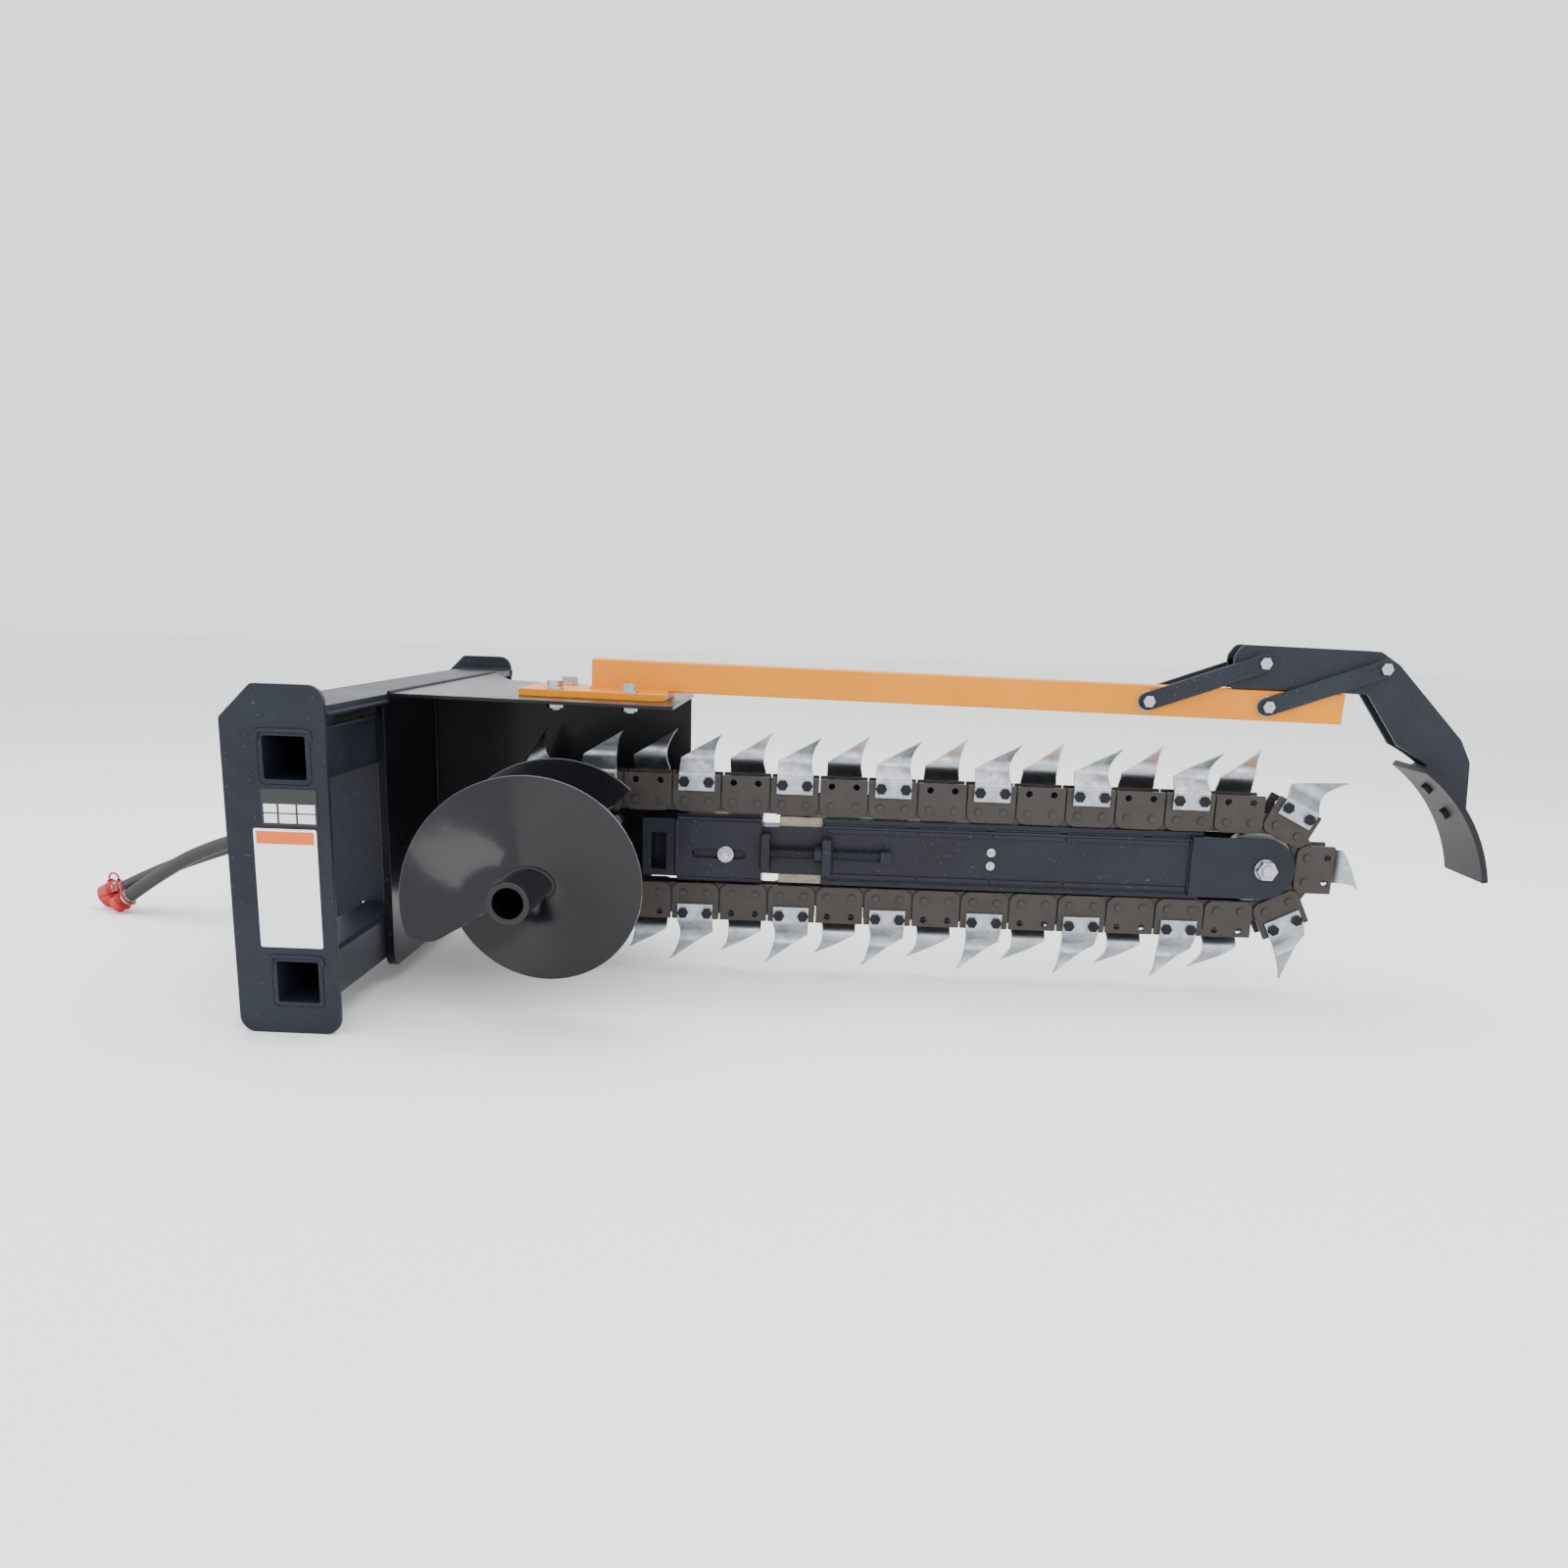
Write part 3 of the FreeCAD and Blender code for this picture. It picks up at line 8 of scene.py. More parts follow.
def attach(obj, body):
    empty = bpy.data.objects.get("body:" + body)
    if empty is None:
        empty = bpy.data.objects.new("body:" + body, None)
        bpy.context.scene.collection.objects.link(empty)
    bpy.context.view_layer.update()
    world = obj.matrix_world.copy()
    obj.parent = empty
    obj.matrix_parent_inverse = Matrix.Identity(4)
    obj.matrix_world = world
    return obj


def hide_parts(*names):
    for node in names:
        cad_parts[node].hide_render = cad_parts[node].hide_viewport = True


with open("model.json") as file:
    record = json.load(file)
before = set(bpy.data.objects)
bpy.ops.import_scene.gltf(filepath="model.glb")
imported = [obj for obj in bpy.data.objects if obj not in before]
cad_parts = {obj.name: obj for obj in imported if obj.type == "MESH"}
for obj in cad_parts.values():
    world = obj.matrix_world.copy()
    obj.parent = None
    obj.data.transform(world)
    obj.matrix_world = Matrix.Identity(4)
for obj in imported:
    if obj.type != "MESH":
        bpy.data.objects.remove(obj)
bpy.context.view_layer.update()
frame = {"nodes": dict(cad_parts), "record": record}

# ---- Camera, soft light and floor ------------------------------------------
# A low three-quarter view along the length of the digging boom, a pale matt
# floor, and wide soft panels overhead and in front, as in a product studio.

camera_spot = Vector((0.86179, -2.48598, 0.63396))
yaw, pitch, roll = -0.028, 0.263, 0.032
ahead = Vector((math.sin(yaw) * math.cos(pitch), math.cos(yaw) * math.cos(pitch), -math.sin(pitch)))
level_right = Vector((math.cos(yaw), -math.sin(yaw), 0))
level_up = level_right.cross(ahead)
right = level_right * math.cos(roll) + level_up * math.sin(roll)
up = -level_right * math.sin(roll) + level_up * math.cos(roll)
camera_data = bpy.data.cameras.new("camera")
camera = bpy.data.objects.new("camera", camera_data)
bpy.context.scene.collection.objects.link(camera)
camera.matrix_world = Matrix((
    (right.x, up.x, -ahead.x, camera_spot.x),
    (right.y, up.y, -ahead.y, camera_spot.y),
    (right.z, up.z, -ahead.z, camera_spot.z),
    (0, 0, 0, 1)))
focal_length = 1400.66
image_size = 1600
camera_data.sensor_width = 36
camera_data.lens = focal_length / image_size * 36
camera_data.shift_x = (image_size / 2 - 803.36) / image_size
camera_data.shift_y = (995.63 - image_size / 2) / image_size
camera_data.clip_end = 60
bpy.context.scene.camera = camera


def linear(code):
    """An sRGB hex colour as the linear colour that a shader takes."""
    parts = [int(code[i:i + 2], 16) / 255 for i in (0, 2, 4)]
    return [c / 12.92 if c <= 0.04045 else ((c + 0.055) / 1.055) ** 2.4 for c in parts] + [1.0]


def add(tree, kind, settings=None, values=None, links=None):
    """Adds one node to a tree, with its settings, input values and links."""
    node = tree.nodes.new(kind)
    for name, value in (settings or {}).items():
        setattr(node, name, value)
    for name, value in (values or {}).items():
        node.inputs[name].default_value = value
    for name, socket in (links or {}).items():
        tree.links.new(socket, node.inputs[name])
    return node


def soft_panel(name, spot, aim, width, depth, watts):
    """A rectangular softbox that faces the aim point."""
    light = bpy.data.lights.new(name, "AREA")
    light.shape = "RECTANGLE"
    light.size = width
    light.size_y = depth
    light.energy = watts
    lamp = bpy.data.objects.new(name, light)
    bpy.context.scene.collection.objects.link(lamp)
    facing = (Vector(aim) - Vector(spot)).to_track_quat("-Z", "Y")
    lamp.matrix_world = Matrix.Translation(spot) @ facing.to_matrix().to_4x4()


soft_panel("overhead_panel", (0.9, 0.4, 3.6), (0.8, 0.0, 0.2), 5.0, 3.0, 150)
soft_panel("front_panel", (1.6, -3.8, 1.9), (0.9, 0.0, 0.2), 4.0, 1.6, 60)
soft_panel("left_panel", (-3.2, -1.6, 1.8), (0.3, 0.0, 0.2), 2.0, 2.0, 40)

world = bpy.data.worlds.new("studio")
bpy.context.scene.world = world
world.use_nodes = True
world.node_tree.nodes.clear()
backdrop_light = add(world.node_tree, "ShaderNodeBackground",
                     values={"Color": linear("f7f9fb"), "Strength": 1.75})
add(world.node_tree, "ShaderNodeOutputWorld",
    links={"Surface": backdrop_light.outputs["Background"]})

floor_mesh = bpy.data.meshes.new("floor")
floor_mesh.from_pydata([(-14, -14, 0), (16, -14, 0), (16, 16, 0), (-14, 16, 0)], [], [(0, 1, 2, 3)])
floor = bpy.data.objects.new("floor", floor_mesh)
bpy.context.scene.collection.objects.link(floor)
floor_paint = bpy.data.materials.new("matt_white_paper")
floor_paint.use_nodes = True
floor_tree = floor_paint.node_tree
floor_tree.nodes.clear()
floor_shader = add(floor_tree, "ShaderNodeBsdfPrincipled",
                   values={"Base Color": linear("f6f6f5"), "Roughness": 0.9,
                           "Specular IOR Level": 0.1})
add(floor_tree, "ShaderNodeOutputMaterial", links={"Surface": floor_shader.outputs["BSDF"]})
floor_mesh.materials.append(floor_paint)

# ---- Hydraulic hoses -------------------------------------------------------
# Two wire-braid rubber hoses with a cloth-marked cover. They leave the motor's
# ports through the window in the back plate, and their ends come to the ground.

hose_diameter = 0.027
hose_routes = {
    "hose_far": [(0.2998, 0.134, 0.240), (0.218, 0.134, 0.240), (0.066, 0.140, 0.231),
                 (-0.092, 0.150, 0.206), (-0.245, 0.162, 0.166), (-0.392, 0.174, 0.117),
                 (-0.500, 0.182, 0.073), (-0.556, 0.187, 0.0442)],
    "hose_near": [(0.2998, 0.096, 0.240), (0.218, 0.096, 0.240), (0.066, 0.104, 0.233),
                  (-0.094, 0.117, 0.211), (-0.244, 0.130, 0.176), (-0.374, 0.141, 0.133),
                  (-0.468, 0.147, 0.079), (-0.528, 0.150, 0.0362)],
}

hose_cover = bpy.data.materials.new("wrapped_rubber_cover")
hose_cover.use_nodes = True
tree = hose_cover.node_tree
tree.nodes.clear()
spot = add(tree, "ShaderNodeTexCoord")
# The curing cloth leaves a band every 22 mm, seen as a slanted line on the cover.
along = add(tree, "ShaderNodeSeparateXYZ", links={"Vector": spot.outputs["UV"]})
turns = add(tree, "ShaderNodeMath", {"operation": "MULTIPLY"}, {1: 40.0}, {0: along.outputs["X"]})
slant = add(tree, "ShaderNodeMath", {"operation": "ADD"}, None,
            {0: turns.outputs[0], 1: along.outputs["Y"]})
band = add(tree, "ShaderNodeMath", {"operation": "FRACT"}, None, {0: slant.outputs[0]})
edge = add(tree, "ShaderNodeMath", {"operation": "GREATER_THAN"}, {1: 0.9}, {0: band.outputs[0]})
weave = add(tree, "ShaderNodeTexNoise", None, {"Scale": 700.0, "Detail": 3.0},
            {"Vector": spot.outputs["Object"]})
dust = add(tree, "ShaderNodeTexNoise", None, {"Scale": 18.0, "Detail": 4.0},
           {"Vector": spot.outputs["Object"]})
shade = add(tree, "ShaderNodeMix", {"data_type": "RGBA"},
            {6: linear("17181a"), 7: linear("2c2d2f")}, {0: dust.outputs["Fac"]})
relief = add(tree, "ShaderNodeMath", {"operation": "ADD"}, None,
             {0: weave.outputs["Fac"], 1: edge.outputs[0]})
bump = add(tree, "ShaderNodeBump", None, {"Strength": 0.5, "Distance": 0.0006},
           {"Height": relief.outputs[0]})
rough = add(tree, "ShaderNodeMapRange", None, {"To Min": 0.42, "To Max": 0.62},
            {"Value": dust.outputs["Fac"]})
cover = add(tree, "ShaderNodeBsdfPrincipled", None, None,
            {"Base Color": shade.outputs[2], "Roughness": rough.outputs["Result"],
             "Normal": bump.outputs["Normal"]})
add(tree, "ShaderNodeOutputMaterial", links={"Surface": cover.outputs["BSDF"]})

for name, route in hose_routes.items():
    curve = bpy.data.curves.new(name + "_cover", "CURVE")
    curve.dimensions = "3D"
    line = curve.splines.new("NURBS")
    line.points.add(len(route) - 1)
    for point, place in zip(line.points, route):
        point.co = (*place, 1.0)
    line.order_u = 3
    line.use_endpoint_u = True
    line.resolution_u = 24
    curve.bevel_depth = hose_diameter / 2
    curve.bevel_resolution = 8
    curve.use_fill_caps = True
    curve.materials.append(hose_cover)
    hose = bpy.data.objects.new(name + "_cover", curve)
    bpy.context.scene.collection.objects.link(hose)
    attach(hose, "frame")
    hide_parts(name)

# ---- Copies of the CAD parts with broken edges -----------------------------
# Cut and machined steel never has a knife edge: the torch, the press or the
# grinder leaves a radius that catches the light. Each part is copied with it.

body_of_node = {node: body for body, nodes in frame["record"]["behaviour"]["bodies"].items()
                for node in nodes}


def broken_edges(node, width, material, segments=2, crease=28, flatten=0.4):
    """A copy of a CAD part whose sharp edges are rounded by the width, in metres."""
    shell = bmesh.new()
    shell.from_mesh(frame["nodes"][node].data)
    bmesh.ops.remove_doubles(shell, verts=shell.verts, dist=2e-6)
    if flatten:
        bmesh.ops.dissolve_limit(shell, angle_limit=math.radians(flatten), verts=shell.verts,
                                 edges=shell.edges)
    mesh = bpy.data.meshes.new(node + "_finished")
    shell.to_mesh(mesh)
    shell.free()
    if "custom_normal" in mesh.attributes:
        mesh.attributes.remove(mesh.attributes["custom_normal"])
    mesh.materials.clear()
    mesh.materials.append(material)
    mesh.shade_smooth()
    mesh.set_sharp_from_angle(angle=math.radians(crease))
    piece = bpy.data.objects.new(node + "_finished", mesh)
    bpy.context.scene.collection.objects.link(piece)
    if width:
        bevel = piece.modifiers.new("edge", "BEVEL")
        bevel.width = width
        bevel.segments = segments
        bevel.limit_method = "ANGLE"
        bevel.angle_limit = math.radians(crease)
        bevel.use_clamp_overlap = False
        bevel.loop_slide = False
        bevel.harden_normals = True
    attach(piece, body_of_node[node])
    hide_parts(node)
    return piece


# ---- Hose ends: ferrules, couplers and dust caps ---------------------------
# Zinc-plated crimped ferrules and coupler bodies. Each red moulded cap hangs
# on a tether ring round its own ferrule.


def plated_steel(name, bright, dull, roughness, grain):
    """Zinc-plated steel: a cool metal, brighter and duller by patches a few mm across."""
    material = bpy.data.materials.new(name)
    material.use_nodes = True
    tree = material.node_tree
    tree.nodes.clear()
    spot = add(tree, "ShaderNodeTexCoord")
    patch = add(tree, "ShaderNodeTexVoronoi", None, {"Scale": 1 / grain, "Randomness": 1.0},
                {"Vector": spot.outputs["Object"]})
    cloud = add(tree, "ShaderNodeTexNoise", None, {"Scale": 45.0, "Detail": 5.0, "Roughness": 0.65},
                {"Vector": spot.outputs["Object"]})
    tone = add(tree, "ShaderNodeMath", {"operation": "MULTIPLY"}, {1: 0.35},
               {0: patch.outputs["Color"]})
    blend = add(tree, "ShaderNodeMath", {"operation": "MULTIPLY_ADD"}, {1: 0.65},
                {0: cloud.outputs["Fac"], 2: tone.outputs[0]})
    colour = add(tree, "ShaderNodeMix", {"data_type": "RGBA"},
                 {6: linear(dull), 7: linear(bright)}, {0: blend.outputs[0]})
    rough = add(tree, "ShaderNodeMapRange", None,
                {"To Min": roughness + 0.14, "To Max": roughness - 0.08},
                {"Value": blend.outputs[0]})
    bump = add(tree, "ShaderNodeBump", None, {"Strength": 0.18, "Distance": 0.0004},
               {"Height": cloud.outputs["Fac"]})
    shader = add(tree, "ShaderNodeBsdfPrincipled", None, {"Metallic": 1.0},
                 {"Base Color": colour.outputs[2], "Roughness": rough.outputs["Result"],
                  "Normal": bump.outputs["Normal"]})
    add(tree, "ShaderNodeOutputMaterial", links={"Surface": shader.outputs["BSDF"]})
    return material


zinc_plate = plated_steel("bright_zinc_plate", "cfd2d6", "7c7f84", 0.28, 0.004)
hose_ends = broken_edges("hose_couplers", 0.0008, zinc_plate)

cap_red = bpy.data.materials.new("moulded_red_vinyl")
cap_red.use_nodes = True
tree = cap_red.node_tree
tree.nodes.clear()
spot = add(tree, "ShaderNodeTexCoord")
grime = add(tree, "ShaderNodeTexNoise", None, {"Scale": 60.0, "Detail": 4.0},
            {"Vector": spot.outputs["Object"]})
tint = add(tree, "ShaderNodeMix", {"data_type": "RGBA"},
           {6: linear("8e0510"), 7: linear("c40a18")}, {0: grime.outputs["Fac"]})
skin = add(tree, "ShaderNodeTexNoise", None, {"Scale": 900.0, "Detail": 2.0},
           {"Vector": spot.outputs["Object"]})
bump = add(tree, "ShaderNodeBump", None, {"Strength": 0.2, "Distance": 0.0003},
           {"Height": skin.outputs["Fac"]})
vinyl = add(tree, "ShaderNodeBsdfPrincipled", None, {"Roughness": 0.38},
            {"Base Color": tint.outputs[2], "Normal": bump.outputs["Normal"]})
add(tree, "ShaderNodeOutputMaterial", links={"Surface": vinyl.outputs["BSDF"]})
caps = broken_edges("dust_caps", 0.0022, cap_red, segments=3)

# ---- Mount frame -----------------------------------------------------------
# Torch-cut side plates, square tube, top plate, hook lip and slotted sill, all
# welded, then powder coated in a blue-black satin.


def powder_coat(name, light, deep, roughness, peel=0.0016, gloss=0.0):
    """A sprayed coat: orange-peel texture, cloudy gloss and a little dust in patches."""
    material = bpy.data.materials.new(name)
    material.use_nodes = True
    tree = material.node_tree
    tree.nodes.clear()
    spot = add(tree, "ShaderNodeTexCoord")
    cloud = add(tree, "ShaderNodeTexNoise", None, {"Scale": 7.0, "Detail": 6.0, "Roughness": 0.6},
                {"Vector": spot.outputs["Object"]})
    skin = add(tree, "ShaderNodeTexNoise", None, {"Scale": 1 / peel, "Detail": 2.0},
               {"Vector": spot.outputs["Object"]})
    speck = add(tree, "ShaderNodeTexNoise", None, {"Scale": 240.0, "Detail": 1.0},
                {"Vector": spot.outputs["Object"]})
    fleck = add(tree, "ShaderNodeMapRange", None,
                {"From Min": 0.70, "From Max": 0.80, "To Max": 0.22},
                {"Value": speck.outputs["Fac"]})
    tone = add(tree, "ShaderNodeMapRange", None, {"From Min": 0.32, "From Max": 0.68},
               {"Value": cloud.outputs["Fac"]})
    colour = add(tree, "ShaderNodeMix", {"data_type": "RGBA"},
                 {6: linear(deep), 7: linear(light)}, {0: tone.outputs["Result"]})
    dusted = add(tree, "ShaderNodeMix", {"data_type": "RGBA"}, {7: linear("8c8a86")},
                 {0: fleck.outputs["Result"], 6: colour.outputs[2]})
    rough = add(tree, "ShaderNodeMapRange", None,
                {"To Min": roughness - 0.07, "To Max": roughness + 0.11},
                {"Value": cloud.outputs["Fac"]})
    bump = add(tree, "ShaderNodeBump", None, {"Strength": 0.12, "Distance": 0.0004},
               {"Height": skin.outputs["Fac"]})
    shader = add(tree, "ShaderNodeBsdfPrincipled", None,
                 {"Coat Weight": gloss, "Coat Roughness": 0.08, "Specular IOR Level": 0.22},
                 {"Base Color": dusted.outputs[2], "Roughness": rough.outputs["Result"],
                  "Normal": bump.outputs["Normal"]})
    add(tree, "ShaderNodeOutputMaterial", links={"Surface": shader.outputs["BSDF"]})
    return material


frame_coat = powder_coat("blue_black_powder_coat", "1f232e", "161922", 0.40)
for node in ("side_plate_near", "side_plate_far"):
    broken_edges(node, 0.0014, frame_coat)
for node in ("cross_tube_upper", "cross_tube_lower", "mount_top_plate", "lock_pin_sill",
             "mount_ribs", "hook_lip"):
    broken_edges(node, 0.0009, frame_coat)

# ---- Weld seams ------------------------------------------------------------
# MIG beads laid along the joints and painted over. Each is a round bead whose
# width swells at every ripple, as the torch pauses, and wanders a little.

bead_tree = bpy.data.node_groups.new("weld_bead", "GeometryNodeTree")
bead_tree.is_modifier = True
for name, direction, kind in (("Seam", "INPUT", "NodeSocketGeometry"),
                              ("Radius", "INPUT", "NodeSocketFloat"),
                              ("Ripple", "INPUT", "NodeSocketFloat"),
                              ("Finish", "INPUT", "NodeSocketMaterial"),
                              ("Bead", "OUTPUT", "NodeSocketGeometry")):
    bead_tree.interface.new_socket(name, in_out=direction, socket_type=kind)
given = add(bead_tree, "NodeGroupInput")
step = add(bead_tree, "ShaderNodeMath", {"operation": "MULTIPLY"}, {1: 0.25},
           {0: given.outputs["Ripple"]})
evened = add(bead_tree, "GeometryNodeResampleCurve", {"mode": "LENGTH"}, None,
             {"Curve": given.outputs["Seam"], "Length": step.outputs[0]})
travel = add(bead_tree, "GeometryNodeSplineParameter")
phase = add(bead_tree, "ShaderNodeMath", {"operation": "DIVIDE"}, None,
            {0: travel.outputs["Length"], 1: given.outputs["Ripple"]})
round_turn = add(bead_tree, "ShaderNodeMath", {"operation": "MULTIPLY"}, {1: 2 * math.pi},
                 {0: phase.outputs[0]})
wave = add(bead_tree, "ShaderNodeMath", {"operation": "SINE"}, None, {0: round_turn.outputs[0]})
wander = add(bead_tree, "ShaderNodeTexNoise", None, {"Scale": 60.0, "Detail": 2.0})
swell = add(bead_tree, "ShaderNodeMath", {"operation": "MULTIPLY_ADD"}, {1: 0.12, 2: 0.70},
            {0: wave.outputs[0]})
swelled = add(bead_tree, "ShaderNodeMath", {"operation": "MULTIPLY_ADD"}, {1: 0.6},
              {0: wander.outputs["Fac"], 2: swell.outputs[0]})
width = add(bead_tree, "ShaderNodeMath", {"operation": "MULTIPLY"}, None,
            {0: swelled.outputs[0], 1: given.outputs["Radius"]})
section = add(bead_tree, "GeometryNodeCurvePrimitiveCircle", None, {"Resolution": 8, "Radius": 1.0})
tube = add(bead_tree, "GeometryNodeCurveToMesh", None, {"Fill Caps": True},
           {"Curve": evened.outputs["Curve"], "Profile Curve": section.outputs["Curve"],
            "Scale": width.outputs[0]})
smooth = add(bead_tree, "GeometryNodeSetShadeSmooth", None, None,
             {"Geometry": tube.outputs["Mesh"]})
real = add(bead_tree, "GeometryNodeRealizeInstances", None, None,
           {"Geometry": smooth.outputs["Geometry"]})
finished = add(bead_tree, "GeometryNodeSetMaterial", None, None,
               {"Geometry": real.outputs["Geometry"], "Material": given.outputs["Finish"]})
add(bead_tree, "NodeGroupOutput", links={"Bead": finished.outputs["Geometry"]})


def weld_seams(name, body, finish, radius, seams, ripple=0.0035):
    """Weld beads along the seams, each a list of points in metres and whether it closes."""
    curve = bpy.data.curves.new(name, "CURVE")
    curve.dimensions = "3D"
    for points, closed in seams:
        line = curve.splines.new("POLY")
        line.points.add(len(points) - 1)
        for point, place in zip(line.points, points):
            point.co = (*place, 1.0)
        line.use_cyclic_u = closed
    path = bpy.data.objects.new(name + "_path", curve)
    bpy.context.scene.collection.objects.link(path)
    maker = path.modifiers.new("bead", "NODES")
    maker.node_group = bead_tree
    settings = {"Radius": radius, "Ripple": ripple, "Finish": finish}
    for item in bead_tree.interface.items_tree:
        if item.in_out == "INPUT" and item.name in settings:
            maker[item.identifier] = settings[item.name]
    ready = path.evaluated_get(bpy.context.evaluated_depsgraph_get())
    bead = bpy.data.objects.new(name, bpy.data.meshes.new_from_object(ready))
    bpy.context.scene.collection.objects.link(bead)
    path.modifiers.clear()
    bpy.data.objects.remove(path)
    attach(bead, body)
    return bead


def square_path(x, y, z, half, cut=0.006):
    """A closed square in a plane across Y, with its corners cut."""
    a, b = half, half - cut
    turns = [(-b, a), (b, a), (a, b), (a, -b), (b, -a), (-b, -a), (-a, -b), (-a, b)]
    return [(x + dx, y, z + dz) for dx, dz in turns]


tube_x, tube_low, tube_high = 0.0908, 0.0786, 0.4059
mount_seams = []
for z in (tube_low, tube_high):
    for side in (-1, 1):
        outer_y, inner_y = side * 0.570, side * 0.560
        top = z + 0.0375
        # The bead over a tube's end runs along its top and curls a little way down both sides.
        curl = [(-0.0385, -0.012), (-0.037, -0.001), (-0.030, 0.0005),
                (0.030, 0.0005), (0.037, -0.001), (0.0385, -0.012)]
        mount_seams.append(([(tube_x + across, outer_y, top + rise) for across, rise in curl],
                            False))
        mount_seams.append((square_path(tube_x, inner_y, z, 0.0375), True))
for side in (-1, 1):
    y = side * 0.560
    mount_seams.append(([(0.040, y, 0.480), (0.149, y, 0.480)], False))
    mount_seams.append(([(0.151, y, 0.468), (0.151, y, 0.480)], False))
    mount_seams.append(([(0.008, y, 0.053), (0.053, y, 0.053)], False))
mount_seams.append(([(0.128, -0.558, 0.443), (0.128, 0.558, 0.443)], False))
mount_seams.append(([(0.053, -0.558, 0.053), (0.053, 0.558, 0.053)], False))
mount_seams.append(([(0.149, -0.556, 0.4675), (0.149, -0.288, 0.4675)], False))
weld_seams("mount_welds", "frame", frame_coat, 0.0036, mount_seams)

# ---- Blank plates on the near side -----------------------------------------
# A small black data plate with empty pale fields, and a taller white notice with
# an orange heading band. Both are printed film, stuck on, with no wording.

plate_film = bpy.data.materials.new("printed_vinyl_film")
plate_film.use_nodes = True
tree = plate_film.node_tree
tree.nodes.clear()
spot = add(tree, "ShaderNodeTexCoord")
axes = add(tree, "ShaderNodeSeparateXYZ", links={"Vector": spot.outputs["Object"]})


def within(tree, x, z, x0, x1, z0, z1):
    """1 inside a rectangle of the near face."""
    inside = None
    for value, low, high in ((x, x0, x1), (z, z0, z1)):
        for amount, level, flip in ((value, low, False), (value, high, True)):
            side = "LESS_THAN" if flip else "GREATER_THAN"
            test = add(tree, "ShaderNodeMath", {"operation": side}, {1: level},
                       {0: amount}).outputs[0]
            if inside is None:
                inside = test
            else:
                both = add(tree, "ShaderNodeMath", {"operation": "MULTIPLY"}, None,
                           {0: inside, 1: test})
                inside = both.outputs[0]
    return inside


face_x, face_z = axes.outputs["X"], axes.outputs["Z"]
layers = [
    ("1a1b1d", within(tree, face_x, face_z, 0.050, 0.140, 0.307, 0.365)),
    ("d9dadb", within(tree, face_x, face_z, 0.057, 0.131, 0.3135, 0.3265)),
    ("d9dadb", within(tree, face_x, face_z, 0.057, 0.131, 0.3285, 0.3405)),
    ("1a1b1d", within(tree, face_x, face_z, 0.076, 0.079, 0.312, 0.342)),
    ("1a1b1d", within(tree, face_x, face_z, 0.103, 0.106, 0.312, 0.342)),
    ("d95f08", within(tree, face_x, face_z, 0.0435, 0.1275, 0.283, 0.3015)),
]
mixed = None
for code, mask in layers:
    printed = add(tree, "ShaderNodeMix", {"data_type": "RGBA"},
                  {6: linear("e9eaec"), 7: linear(code)}, {0: mask})
    if mixed:
        tree.links.new(mixed, printed.inputs[6])
    mixed = printed.outputs[2]
scuff = add(tree, "ShaderNodeTexNoise", None, {"Scale": 90.0, "Detail": 4.0},
            {"Vector": spot.outputs["Object"]})
film_rough = add(tree, "ShaderNodeMapRange", None, {"To Min": 0.25, "To Max": 0.42},
                 {"Value": scuff.outputs["Fac"]})
film = add(tree, "ShaderNodeBsdfPrincipled", None, None,
           {"Base Color": mixed, "Roughness": film_rough.outputs["Result"]})
add(tree, "ShaderNodeOutputMaterial", links={"Surface": film.outputs["BSDF"]})
broken_edges("blank_plates", 0.0, plate_film)

# ---- Housing ---------------------------------------------------------------
# Back plate, deck and side wall of 6 to 14 mm plate in a glossier black. The
# deck is ground along its outer edge and welded to the mount.

housing_coat = powder_coat("gloss_black_enamel", "121318", "0b0c10", 0.28, gloss=0.08)
for node in ("housing_back_plate", "housing_top_plate", "housing_side_wall"):
    broken_edges(node, 0.0010, housing_coat)
housing_seams = [
    ([(0.1512, -0.284, 0.4812), (0.1512, 0.416, 0.4812)], False),
    ([(0.1423, -0.284, 0.4745), (0.1423, 0.416, 0.4745)], False),
    ([(0.1423, 0.0035, 0.098), (0.1423, 0.0035, 0.472)], False),
    ([(0.145, 0.0035, 0.4748), (0.604, 0.0035, 0.4682)], False),
    ([(0.1283, -0.284, 0.1161), (0.1283, 0.416, 0.1161)], False),
]
weld_seams("housing_welds", "frame", housing_coat, 0.0032, housing_seams)

# ---- Hydraulic motor and bearing -------------------------------------------
# A cast orbit motor behind the side wall, sprayed black, with its port block
# and two hose adapters, and the bearing housing on the chain side.

motor_coat = powder_coat("sprayed_cast_iron", "1d1e21", "131416", 0.5, peel=0.0028)
for node in ("hydraulic_motor", "motor_end_cover", "bearing_housing"):
    broken_edges(node, 0.0016, motor_coat, segments=3)
for node in ("motor_bolts", "port_fittings"):
    broken_edges(node, 0.0006, zinc_plate)

# ---- Head shaft, sprocket and spoil auger ----------------------------------
# A turned shaft and flame-cut sprocket. The auger's flight is rolled plate
# welded round a tube, in a deep gloss enamel with its rim rubbed bright.

turned_steel = plated_steel("oiled_turned_steel", "8d8e90", "56575a", 0.36, 0.003)
for node in ("head_shaft", "drive_sprocket"):
    broken_edges(node, 0.0012, turned_steel)

